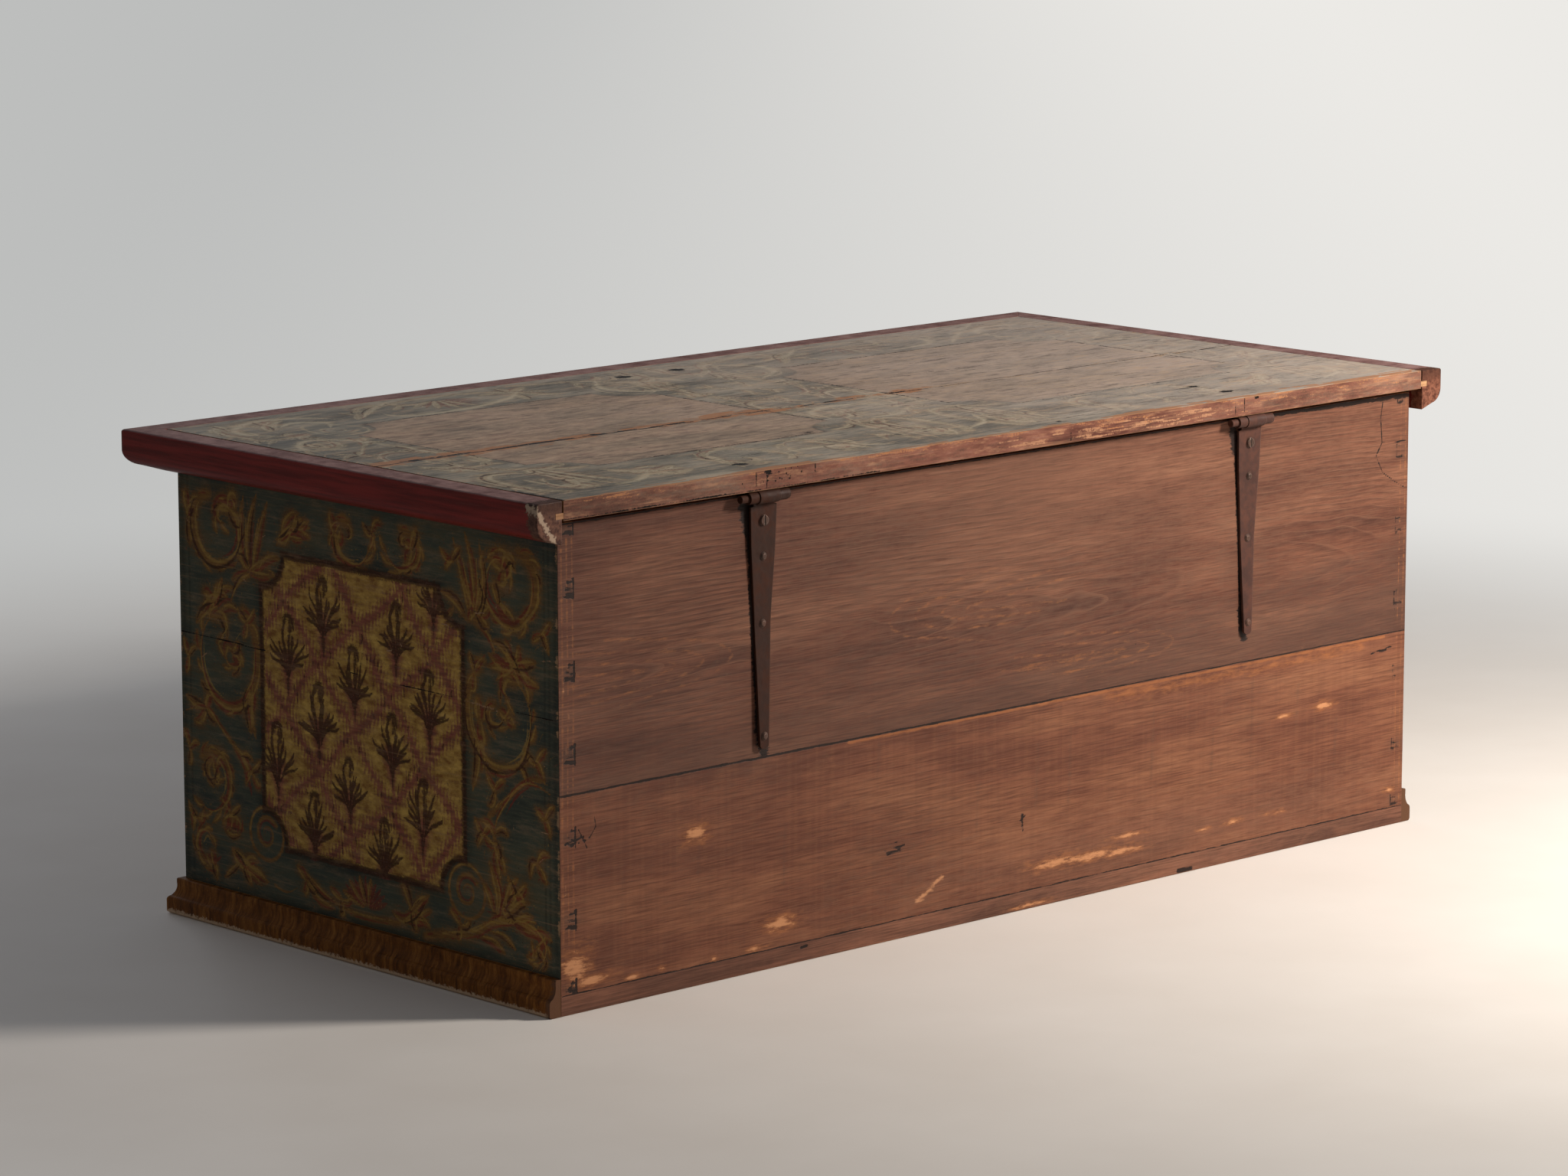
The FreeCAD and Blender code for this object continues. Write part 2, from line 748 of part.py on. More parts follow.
def staple_nail_places():
    """Where the nails go through the staple's plate and the lid."""
    half = s["staple_nail_spacing"] / 2
    middle_y = -INNER_FACE + s["staple_plate_clear"] + s["staple_plate_depth"] / 2
    return [(-half, middle_y), (half, middle_y)]


def lid_leaf_nail_places(x):
    """Where the nails go through a lid leaf and the lid."""
    first = HALF_DEPTH - s["lid_leaf_first_nail"]
    count = int(s["lid_leaf_nail_count"].value)
    return [(x, first - s["lid_leaf_nail_spacing"] * k) for k in range(count)]


def lid_board(name, front_y, back_y, front_tongue, nails, seam_is_front):
    """Make one lid board with its tongues, its dowel holes and its nail holes."""
    body = new_body(name)
    shoulder = EDGE_INNER_X - s["shoulder_gap"]
    tongue = EDGE_INNER_X + s["tongue_length"]
    front_shoulder = front_y
    front_reach = front_y
    if front_tongue:
        front_shoulder = front_y + s["shoulder_gap"]
        front_reach = front_y - s["tongue_length"]
    pad(body, "XY", RIM, [rectangle(-shoulder, front_shoulder, shoulder, back_y)], s["lid_thick"])
    pad(body, "XY", RIM + s["tongue_rise"], [rectangle(-tongue, front_reach, tongue, back_y)],
        s["tongue_thick"])
    reach = s["dowel_length"] / 2
    middle = RIM + s["lid_thick"] / 2
    rings = []
    for x in wall_dowels():
        rings.append(Ring(x, middle, s["dowel_diameter"] / 2))
    start = s["lid_seam"] + reach if seam_is_front else s["lid_seam"] + MARGIN
    cut(body, "XZ", start, rings, reach + MARGIN)
    low = front_y.value - NAIL_RADIUS.value
    high = back_y.value + NAIL_RADIUS.value
    own_nails = [(x, y) for x, y in nails if low < y.value < high]
    if own_nails:
        drill_up(body, RIM - MARGIN, own_nails, NAIL_RADIUS, s["lid_thick"] + MARGIN * 2)
    return body


def make_lid():
    """Make the two lid boards, their dowels and the edge mouldings."""
    seam = s["lid_seam"]
    nails = staple_nail_places()
    for x, _ in HINGES.values():
        nails += lid_leaf_nail_places(x)
    lid_board("lid_board_front", -EDGE_INNER_Y, seam, True, nails, False)
    lid_board("lid_board_back", seam, LID_BACK, False, nails, True)
    radius = s["dowel_diameter"].value / 2
    length = s["dowel_length"].value
    middle = (RIM + s["lid_thick"] / 2).value
    dowels = []
    for x in wall_dowels():
        start = FreeCAD.Vector(x.value, seam.value - length / 2, middle)
        dowels.append(Part.makeCylinder(radius, length, start, FreeCAD.Vector(0, 1, 0)))
    new_group("lid_dowels", dowels)
    moulding_set("lid_edge", lid_edge_profile, EDGE_INNER_X, EDGE_INNER_Y, LID_BACK,
                 LID_TOP - s["edge_height"], s["edge_width"], s["edge_height"])


# Hinges
def tapered_side(x, half_widths, along, sign):
    """Points down one side of a strap, from a list of half widths and places along it."""
    return [(x + half * sign, place) for half, place in zip(half_widths, along)]


def add_eye(body, start, width, radius):
    """Roll an eye around the hinge pin."""
    past = s["knuckle_gap"] / 2
    pad(body, "YZ", start, [Ring(AXIS_Y, AXIS_Z, radius)], width)
    cut(body, "YZ", start - past, [Ring(AXIS_Y, AXIS_Z, EYE_BORE)], width + past * 2)


def strap_gap(z, length):
    """Gap behind a bowed back strap at a height: it bears on the wall at its second nail only."""
    contact = AXIS_Z - s["second_nail_drop"]
    tip = AXIS_Z - length
    if z.value >= contact.value:
        return s["strap_top_gap"] * (z - contact) / s["second_nail_drop"]
    return s["strap_tip_gap"] * (contact - z) / (contact - tip)


def bow_strap(body, x, length):
    """Pare a straight bar down to a bowed strap, behind and in front."""
    thick = s["strap_thick"]
    contact = AXIS_Z - s["second_nail_drop"]
    tip = AXIS_Z - length
    behind = HALF_DEPTH - MARGIN
    front = HALF_DEPTH + thick + s["strap_top_gap"] + s["strap_tip_gap"] + MARGIN
    top_y = HALF_DEPTH + s["strap_top_gap"]
    tip_y = HALF_DEPTH + s["strap_tip_gap"]
    start = x - s["strap_top_width"]
    cuts = [
        [(behind, contact), (HALF_DEPTH, contact), (top_y, AXIS_Z), (top_y, AXIS_Z + MARGIN),
         (behind, AXIS_Z + MARGIN)],
        [(behind, contact), (behind, tip - MARGIN), (tip_y, tip - MARGIN), (tip_y, tip),
         (HALF_DEPTH, contact)],
        [(front, AXIS_Z + MARGIN), (top_y + thick, AXIS_Z + MARGIN), (top_y + thick, AXIS_Z),
         (HALF_DEPTH + thick, contact), (tip_y + thick, tip), (tip_y + thick, tip - MARGIN),
         (front, tip - MARGIN)],
    ]
    for outline in cuts:
        cut(body, "YZ", start, [outline], s["strap_top_width"] * 2)


def back_strap(name, x, length):
    """Make the strap that is nailed to the back, with the middle knuckle rolled outwards."""
    body = new_body(name)
    tip = AXIS_Z - length
    widths = [s["knuckle_width"] / 2, s["knuckle_width"] / 2, s["strap_top_width"] / 2,
              s["strap_mid_width"] / 2, s["strap_waist_width"] / 2, s["strap_tip_width"] / 2]
    shoulder = AXIS_Z - s["strap_shoulder_drop"]
    heights = [AXIS_Z, shoulder, shoulder, AXIS_Z - s["strap_mid_drop"],
               AXIS_Z - s["strap_waist_drop"], tip + s["strap_tip_rise"]]
    left = tapered_side(x, widths, heights, -1)
    right = tapered_side(x, widths, heights, 1)
    end = right.pop()
    outline = left + [Arc(*end, s["strap_tip_radius"], 1)] + right[::-1]
    bar = s["strap_thick"] + s["strap_top_gap"] + s["strap_tip_gap"]
    pad(body, "XZ", HALF_DEPTH + bar, [outline], bar)
    bow_strap(body, x, length)
    add_eye(body, x - s["knuckle_width"] / 2, s["knuckle_width"], KNUCKLE_RADIUS)
    slit_low = AXIS_Z - KNUCKLE_RADIUS - MARGIN
    slit_y = HALF_DEPTH + s["strap_top_gap"] + s["strap_thick"]
    slit = rectangle(slit_y, slit_low, slit_y + s["roll_slit"], slit_low + s["roll_slit_height"])
    cut(body, "YZ", x - s["knuckle_width"] / 2 - MARGIN, [slit], s["knuckle_width"] + MARGIN * 2)
    cut(body, "XZ", HALF_DEPTH + bar + MARGIN, strap_fixings(x, length), bar + MARGIN * 2)
    return body


def lid_leaf(name, x):
    """Make the leaf nailed under the lid, which forks and bends down into two outer eyes."""
    body = new_body(name)
    thick = s["lid_leaf_thick"]
    inner = s["knuckle_width"] / 2 + s["knuckle_gap"]
    outer = inner + s["outer_eye_width"]
    crank = HALF_DEPTH - s["lid_leaf_crank"]
    tip = HALF_DEPTH - s["lid_leaf_length"]
    widths = [outer, s["lid_leaf_width"] / 2, s["strap_tip_width"] / 2]
    along = [crank, HALF_DEPTH - s["lid_leaf_neck"], tip + s["strap_tip_rise"]]
    left = tapered_side(x, widths, along, -1)
    right = tapered_side(x, widths, along, 1)
    end = right.pop()
    outline = left + [Arc(*end, s["strap_tip_radius"], 1)] + right[::-1]
    pad(body, "XY", RIM - thick, [outline], thick)
    eye_top = AXIS_Z + LEAF_EYE_RADIUS
    arm = [(crank, RIM - thick), (AXIS_Y, eye_top - thick), (AXIS_Y, eye_top), (crank, RIM)]
    for start in (x - outer, x + inner):
        pad(body, "YZ", start, [arm], s["outer_eye_width"])
        add_eye(body, start, s["outer_eye_width"], LEAF_EYE_RADIUS)
    drill_up(body, RIM - thick - MARGIN, lid_leaf_nail_places(x), NAIL_RADIUS, thick + MARGIN * 2)
    return body


def hinge_pin(name, x):
    """Make the pin, with a hammered head on one end and a tail past the eye on the other."""
    body = new_body(name)
    reach = s["knuckle_width"] / 2 + s["knuckle_gap"] + s["outer_eye_width"] + s["knuckle_gap"]
    length = reach * 2 + s["hinge_pin_tail"]
    pad(body, "YZ", x - reach, [Ring(AXIS_Y, AXIS_Z, s["hinge_pin_diameter"] / 2)], length)
    head = s["hinge_pin_head"]
    ring = Ring(AXIS_Y, AXIS_Z, s["hinge_pin_head_diameter"] / 2)
    pad(body, "YZ", x - reach - head, [ring], head)
    return body


# Nails and screws
def nail(length):
    """One rose-head nail: the head below, the shank running up +Z from the head's seat."""
    radius = s["nail_diameter"].value / 2
    head = s["nail_head_height"].value
    shank = Part.makeCylinder(radius, length)
    top = Part.makeCone(s["nail_head_top"].value / 2, s["nail_head_diameter"].value / 2, head,
                        FreeCAD.Vector(0, 0, -head))
    return shank.fuse(top).removeSplitter()


def screw(length):
    """One slotted screw: the head below, the shank running up +Z from the head's seat."""
    radius = s["nail_diameter"].value / 2
    head = s["screw_head_height"].value
    wide = s["screw_head_diameter"].value / 2
    slot_wide = s["screw_slot_width"].value
    slot_deep = s["screw_slot_depth"].value
    shank = Part.makeCylinder(radius, length)
    top = Part.makeCone(wide - slot_deep, wide, head, FreeCAD.Vector(0, 0, -head))
    corner = FreeCAD.Vector(-slot_wide / 2, -wide, -head - slot_deep)
    slot = Part.makeBox(slot_wide, wide * 2, slot_deep * 2, corner)
    return shank.fuse(top).removeSplitter().cut(slot)


def placed(shape, place, direction):
    """Copy a nail to its seat, with its shank pointing along `direction`."""
    turn = FreeCAD.Rotation(FreeCAD.Vector(0, 0, 1), direction)
    copy = shape.copy()
    copy.Placement = FreeCAD.Placement(place, turn)
    return copy


def make_hinges():
    """Make both hinges, their screws and their nails."""
    into_back = FreeCAD.Vector(0, -1, 0)
    up = FreeCAD.Vector(0, 0, 1)
    leaf_face = (RIM - s["lid_leaf_thick"]).value
    lid_length = (s["lid_thick"] + s["lid_leaf_thick"]).value
    screws = []
    back_nails = []
    lid_nails = []
    for side, (x, length) in HINGES.items():
        back_strap(f"hinge_{side}_back_strap", x, length)
        lid_leaf(f"hinge_{side}_lid_leaf", x)
        hinge_pin(f"hinge_{side}_pin", x)
        fixings = [(AXIS_Z - s["screw_drop"], screw, screws)]
        fixings += [(z, nail, back_nails) for z in strap_nail_heights(length)]
        for z, fixing, kept in fixings:
            reach = s["strap_thick"] + strap_gap(z, length) + s["head_clear"]
            seat = FreeCAD.Vector(x.value, (HALF_DEPTH + reach).value, z.value)
            kept.append(placed(fixing((THICK + reach).value), seat, into_back))
        for nail_x, nail_y in lid_leaf_nail_places(x):
            seat = FreeCAD.Vector(nail_x.value, nail_y.value, leaf_face)
            lid_nails.append(placed(nail(lid_length), seat, up))
    new_group("hinge_screws", screws)
    new_group("hinge_back_nails", back_nails)
    new_group("hinge_lid_nails", lid_nails)


# Lock
PLATE_FACE = -INNER_FACE + s["lock_plate_thick"]
LOOP_OUT = s["bolt_stand_off"] + s["bolt_thick"] / 2 + s["staple_hole"] / 2 + s["staple_bar"]
SLOT_DEPTH = LOOP_OUT + s["case_slot_clear"]
CASE_DEPTH = SLOT_DEPTH + s["case_back_land"]
BOLT_HEAD = s["staple_offset"] - s["staple_width"] / 2 - s["bolt_gap"]
BOLT_THROW = s["bolt_gap"] + s["staple_width"] + s["bolt_past_staple"]
BOLT_LOW = RIM - s["keyhole_drop"] + s["bolt_rise"]
BOLT_FACE = PLATE_FACE + s["bolt_stand_off"]


def make_lock_housing():
    """Make the lock plate and the case that covers the works."""
    half = s["lock_plate_width"] / 2
    plate = new_body("lock_plate")
    outline = rectangle(-half, LOCK_PLATE_LOW, half, LOCK_PLATE_TOP)
    pad(plate, "XZ", PLATE_FACE, [outline], s["lock_plate_thick"])
    keyhole_cuts(plate, PLATE_FACE + MARGIN, s["lock_plate_thick"] + MARGIN * 2)
    holes = [Ring(x, z, NAIL_RADIUS) for x, z in lock_nail_places()]
    cut(plate, "XZ", PLATE_FACE + MARGIN, holes, s["lock_plate_thick"] + MARGIN * 2)

    case = new_body("lock_case")
    half = s["case_width"] / 2
    wall = s["case_wall"]
    top = RIM - s["case_drop"]
    low = top - s["case_height"]
    back = PLATE_FACE + CASE_DEPTH
    pad(case, "XZ", back, [rectangle(-half, low, half, top)], CASE_DEPTH)
    inside = rectangle(-half + wall, low + wall, half - wall, top - wall)
    cut(case, "XZ", back - wall, [inside], CASE_DEPTH)
    slot_half = s["staple_width"] / 2 + s["case_slot_clear"]
    slot_x = s["staple_offset"]
    slot = rectangle(slot_x - slot_half, PLATE_FACE - MARGIN, slot_x + slot_half,
                     PLATE_FACE + SLOT_DEPTH)
    cut(case, "XY", top - wall - MARGIN, [slot], wall + MARGIN * 2)


def make_bolt():
    """Make the sliding bolt and the two guides that carry it."""
    head = BOLT_HEAD
    first = head - s["guide_inset"] - s["guide_width"]
    tail = first - s["guide_spacing"] - BOLT_THROW - s["bolt_tail"]
    top = BOLT_LOW + s["bolt_height"]
    notch = s["bolt_notch_width"] / 2
    bolt = new_body("lock_bolt")
    outline = [
        (tail, BOLT_LOW), (-notch, BOLT_LOW), (-notch, BOLT_LOW + s["bolt_notch_depth"]),
        (notch, BOLT_LOW + s["bolt_notch_depth"]), (notch, BOLT_LOW), (head, BOLT_LOW),
        (head, top), (tail, top),
    ]
    pad(bolt, "XZ", BOLT_FACE + s["bolt_thick"], [outline], s["bolt_thick"])
    clear = s["guide_clear"]
    wall = s["guide_wall"]
    for name, x in (("right", first), ("left", first - s["guide_spacing"])):
        guide = new_body(f"bolt_guide_{name}")
        outer = rectangle(PLATE_FACE, BOLT_LOW - clear - wall,
                          BOLT_FACE + s["bolt_thick"] + clear + wall, top + clear + wall)
        pad(guide, "YZ", x, [outer], s["guide_width"])
        inner = rectangle(BOLT_FACE - clear, BOLT_LOW - clear,
                          BOLT_FACE + s["bolt_thick"] + clear, top + clear)
        cut(guide, "YZ", x - MARGIN, [inner], s["guide_width"] + MARGIN * 2)


def make_staple():
    """Make the plate under the lid and the loop that drops into the lock."""
    plate = new_body("staple_plate")
    half = s["staple_plate_width"] / 2
    front = -INNER_FACE + s["staple_plate_clear"]
    thick = s["staple_plate_thick"]
    outline = rectangle(-half, front, half, front + s["staple_plate_depth"])
    pad(plate, "XY", RIM - thick, [outline], thick)
    drill_up(plate, RIM - thick - MARGIN, staple_nail_places(), NAIL_RADIUS, thick + MARGIN * 2)

    loop = new_body("staple_loop")
    middle = staple_middle_y()
    inner = s["staple_hole"] / 2
    outer = inner + s["staple_bar"]
    floor = BOLT_LOW - s["staple_below_bolt"]
    low = floor - s["staple_bar"]
    top = RIM - thick
    soft = s["staple_corner"]
    outline = [
        (middle - outer, top), (middle - outer, low + soft),
        Arc(middle - outer + soft, low, soft, 1), (middle + outer - soft, low),
        Arc(middle + outer, low + soft, soft, 1), (middle + outer, top),
        (middle + inner, top), (middle + inner, floor), (middle - inner, floor),
        (middle - inner, top),
    ]
    pad(loop, "YZ", s["staple_offset"] - s["staple_width"] / 2, [outline], s["staple_width"])


def make_lock_nails():
    """Make the nails of the lock plate and of the staple's plate."""
    into_front = FreeCAD.Vector(0, -1, 0)
    up = FreeCAD.Vector(0, 0, 1)
    nails = []
    for x, z in lock_nail_places():
        seat = FreeCAD.Vector(x.value, PLATE_FACE.value, z.value)
        length = (s["lock_nail_bite"] + s["lock_plate_thick"]).value
        nails.append(placed(nail(length), seat, into_front))
    new_group("lock_nails", nails)
    nails = []
    for x, y in staple_nail_places():
        seat = FreeCAD.Vector(x.value, y.value, (RIM - s["staple_plate_thick"]).value)
        length = (s["lid_thick"] + s["staple_plate_thick"]).value
        nails.append(placed(nail(length), seat, up))
    new_group("staple_nails", nails)


def check():
    """Stop if any feature failed or any sub-part has no sound solid."""
    doc.recompute()
    for thing in doc.Objects:
        if "Invalid" in thing.State or "Error" in thing.State:
            raise RuntimeError(f"{thing.Name} failed: {thing.State}")
    for node in NODES:
        if node.Shape.isNull() or not node.Shape.isValid() or not node.Shape.Solids:
            raise RuntimeError(f"{node.Label} has no valid solid")


def export():
    """Write each sub-part to its own file."""
    os.makedirs("parts", exist_ok=True)
    for node in NODES:
        node.Shape.exportStep(f"parts/{node.Label}.step")
        box = node.Shape.BoundBox
        print(f"{node.Label}: {len(node.Shape.Solids)} solid, {node.Shape.Volume / 1000:.1f} cm3, "
              f"X {box.XMin:.1f} to {box.XMax:.1f}, Y {box.YMin:.1f} to {box.YMax:.1f}, "
              f"Z {box.ZMin:.1f} to {box.ZMax:.1f}")


make_walls()
make_bottom()
make_pegs_and_dowels()
make_till()
moulding_set("base_moulding", base_profile, HALF_LENGTH, HALF_DEPTH, HALF_DEPTH, 0,
             s["base_thick"], s["base_height"])
make_lid()
make_hinges()
make_lock_housing()
make_bolt()
make_staple()
make_lock_nails()
check()
export()
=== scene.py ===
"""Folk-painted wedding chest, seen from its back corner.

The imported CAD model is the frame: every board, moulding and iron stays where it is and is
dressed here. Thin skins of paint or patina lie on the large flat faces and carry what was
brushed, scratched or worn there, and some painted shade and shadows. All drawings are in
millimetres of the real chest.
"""

import logging
import math
from collections.abc import Callable, Iterable
from dataclasses import dataclass, field, replace
from enum import Enum
from functools import partial
from itertools import chain

import bpy
import numpy as np
from mathutils import Matrix, Vector


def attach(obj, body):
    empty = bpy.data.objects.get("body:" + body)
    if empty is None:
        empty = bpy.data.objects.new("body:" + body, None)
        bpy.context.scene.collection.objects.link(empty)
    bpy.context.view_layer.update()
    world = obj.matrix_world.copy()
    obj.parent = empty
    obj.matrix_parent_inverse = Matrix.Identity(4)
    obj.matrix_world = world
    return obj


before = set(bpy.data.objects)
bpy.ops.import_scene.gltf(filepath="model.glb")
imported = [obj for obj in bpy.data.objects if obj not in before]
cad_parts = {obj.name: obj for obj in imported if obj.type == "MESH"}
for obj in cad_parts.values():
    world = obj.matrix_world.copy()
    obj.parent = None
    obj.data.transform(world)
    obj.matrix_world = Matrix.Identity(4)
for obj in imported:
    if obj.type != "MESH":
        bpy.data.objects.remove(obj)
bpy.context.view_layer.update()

LOG = logging.getLogger("wedding_chest")
MM = 0.001
SEED = 1834
TINY = 1e-6

Node = bpy.types.Node
# add_node() for one tree
Adder = Callable[..., Node]
Place = tuple[float, float, float]

# Settings that many nodes share
USUAL = {"Mix": {"data_type": "RGBA"}}
SOFT = {"interpolation_type": "SMOOTHSTEP"}


class Body(Enum):
    """Moving bodies that carry a skin."""

    CHEST = "chest"
    LID = "lid"


class Slot(Enum):
    """Finish slots of the record."""

    FRONT = "painted_front"
    PINE = "bare_pine"
    END = "painted_end"
    LID = "painted_lid"


class Face(Enum):
    """Flat faces that carry a skin, as seen from outside."""

    BACK = "back"
    FRONT = "front"
    RIGHT = "right"
    LEFT = "left"
    TOP = "top"


class Taper(Enum):
    """How the width of a brush stroke runs from its start to its end."""

    EVEN = "even"
    LEAF = "leaf"
    COMMA = "comma"
    TAIL = "tail"
    RAGGED = "ragged"


class Along(Enum):
    """Turn that brings a board's grain along X."""

    X = (0.0, 0.0, 0.0)
    Y = (0.0, 0.0, -math.pi / 2)
    Z = (0.0, math.pi / 2, 0.0)


def linear(colour: str) -> tuple[float, float, float, float]:
    """Turn an sRGB hex colour into linear RGBA.

    Args:
        colour: Six hex digits after a hash sign.

    Returns:
        Red, green, blue and an alpha of 1.
    """
    parts = []
    for start in (1, 3, 5):
        value = int(colour[start:start + 2], 16) / 255
        parts.append(value / 12.92 if value <= 0.04045 else ((value + 0.055) / 1.055) ** 2.4)
    return (*parts, 1.0)


def add_node(tree: bpy.types.NodeTree, kind: str, *inputs: object,
             stops: Iterable[tuple[float, str]] = (), **settings: object) -> Node:
    """Add one node with its settings and links.

    Args:
        tree: Node tree to add to.
        kind: Node type without its ShaderNode prefix, and its operation after a blank.
        *inputs: What its live sockets take, in their order, or one dict of them by name. A
            node links its first live output, a socket links itself, a hex colour turns
            linear, None leaves a socket as it is, and anything else is a plain value.
        stops: Places and colours of a colour ramp.
        **settings: Properties of the node, and a curve or profile of its own.

    Returns:
        The new node.
    """
    kind, _, operation = kind.partition(" ")
    made = tree.nodes.new("ShaderNode" + kind)
    if operation:
        made.operation = operation
    for name, value in (USUAL.get(kind, {}) | settings).items():
        setattr(made, name, value)
    for number, (place, colour) in enumerate(stops):
        ramp = made.color_ramp.elements
        element = ramp[number] if number < len(ramp) else ramp.new(1.0)
        element.position, element.color = place, linear(colour)
    live = [socket for socket in made.inputs if socket.enabled]
    if inputs and isinstance(inputs[0], dict):
        named = {socket.name: socket for socket in reversed(live)}
        pairs = [(named[name], value) for name, value in inputs[0].items()]
    else:
        pairs = zip(live, inputs)
    for socket, value in pairs:
        if isinstance(value, Node):
            value = next(output for output in value.outputs if output.enabled)
        if isinstance(value, bpy.types.NodeSocket):
            tree.links.new(value, socket)
        elif value is not None:
            socket.default_value = linear(value) if isinstance(value, str) else value
    return made


@dataclass(frozen=True)
class Finish:
    """What every finish shares: a name, and one material built the first time it is asked for."""

    name: str

    def material(self) -> bpy.types.Material:
        """Return the finish's material.

        Returns:
            The material, built the first time.
        """
        made = bpy.data.materials.get(self.name)
        if made is None:
            made = bpy.data.materials.new(self.name)
            made.use_nodes = True
            made.node_tree.nodes.clear()
            add = partial(add_node, made.node_tree)
            add("OutputMaterial", self.build(add))
        return made

    def build(self, add: Adder) -> Node:
        """Build the shader; each finish has its own.

        Args:
            add: Adds a node to the material.

        Returns:
            The shader.
        """
        raise NotImplementedError

    def grain_space(self, add: Adder, along: Along, shift: Place) -> Node:
        """Turn the chest's own space so that the grain runs along X.

        Args:
            add: Adds a node to the material.
            along: Direction of the grain.
            shift: Move in metres that gives each board its own piece of the tree.

        Returns:
            The mapping node.
        """
        turned = add("Mapping", add("TexCoord").outputs["Object"], None, along.value)
        return add("Mapping", turned, shift)


@dataclass(frozen=True)
class AgedPine(Finish):
    """Scots pine, sawn and hand-planed, then browned by some two hundred years of air.

    The eye gets fine dark latewood lines that open into cathedral arches, short silky fibres,
    slow patches of grey and red brown, and a dull sheen.
    """

    along: Along
    pale: str
    brown: str
    deep: str
    line: str
    ring_mm: float
    pith: Place
    tilt: float
    rings: float
    crests: float = 0.3
    blotches: float = 0.2
    blotch_run: float = 9.0
    saw_marks: float = 0.05
    roughness: float = 0.62

    def build(self, add: Adder) -> Node:
        """Build growth rings, fibres, patina and the marks that a skin carries.

        Args:
            add: Adds a node to the material.

        Returns:
            The shader.
        """
        board = self.grain_space(add, self.along, self.pith)
        # Fibres are about 0.4 mm wide; drawn 1.4 mm wide so that they show
        fibre, streak, patch, blotch, saw, crumble, wander = (
            add("TexNoise", add("Mapping", board, None, None, (run, over, over)), 1.0, *detail)
            for run, over, *detail in (
                (22, 700, 4, 0.6), (5, 150, 6, 0.7), (3, 17, 6, 0.62),
                (self.blotch_run, 46, 6, 0.72), (150, 3, 4, 0.6), (60, 260, 4, 0.7),
                (3.2, 9, 3)))
        # Rings stand around a heart that leans out of the board, which opens them into arches
        turn = math.radians(self.tilt)
        lean = add("Mapping", board, None, (0, math.radians(self.tilt * 0.3), turn), (0.5, 1, 1))
        pushed = add("VectorMath ADD", lean,
                     add("VectorMath SCALE", wander.outputs["Color"], 0.03))
        waves_per_metre = 2 * math.pi / (20 * self.ring_mm * MM)
        growth = add("TexWave", pushed, waves_per_metre, 1.0, 2.0, 0.5, wave_type="RINGS",
                     rings_direction="X", wave_profile="SAW").outputs["Fac"]
        strength = add("MapRange", add("TexNoise", board, 6.0, 3.0), 0.36, 0.64, 0.15)
        late, crest = (
            add("Math MULTIPLY", add("MapRange", growth, start, end, **SOFT), strength)
            for start, end in ((0.3, 0.95), (0.84, 0.97)))
        colour = add("ValToRGB", patch,
                     stops=((0.3, self.deep), (0.5, self.brown), (0.7, self.pale)))
        for source, start, end, much, tone in (
                (streak, 0.5, 0.68, 0.34, self.deep), (streak, 0.5, 0.33, 0.18, self.pale),
                (blotch, 0.52, 0.68, self.blotches, self.deep),
                (blotch, 0.48, 0.34, self.blotches * 0.8, self.pale),
                (saw, 0.5, 0.66, self.saw_marks, self.deep),
                (saw, 0.5, 0.34, self.saw_marks, self.pale),
                (fibre, 0.42, 0.7, 0.6, self.line)):
            colour = add("Mix", add("MapRange", source, start, end, None, much), colour, tone)
        for ring, much, tone in ((late, self.rings, self.line), (crest, self.crests, self.pale)):
            colour = add("Mix", add("Math MULTIPLY", ring, much), colour, tone)
        # The marks of a skin, each over the one before; the dark mark holds cracks and painted
        # shadows alike
        crumbs = add("MapRange", crumble, 0.3, 0.7, -0.3, 0.3)
        for name, soft, tone, much in (
                ("bloom", 0.5, "#a97e63", 0.17), ("grey", 0.5, "#4c382e", 0.5),
                ("tan", 0.3, "#a9693a", 0.5), ("pale", 0.2, "#cf9468", 0.66),
                ("dark", 0.1, "#150b08", 0.94)):
            shaken = add("Math ADD", add("Attribute", attribute_name=name).outputs["Fac"], crumbs)
            mask = add("MapRange", shaken, 0.5 - soft, 0.5 + soft, **SOFT)
            colour = add("Mix", add("Math MULTIPLY", mask, much), colour, tone)
        height = add("Math SUBTRACT", add("Math MULTIPLY_ADD", late, fibre, 0.0), mask)
        rough = add("MapRange", fibre, 0.3, 0.7, self.roughness - 0.08, self.roughness + 0.14)
        return add("BsdfPrincipled", {
            "Base Color": colour, "Roughness": rough, "Specular IOR Level": 0.25,
            "Normal": add("Bump", 0.7, 0.0007, None, height)})


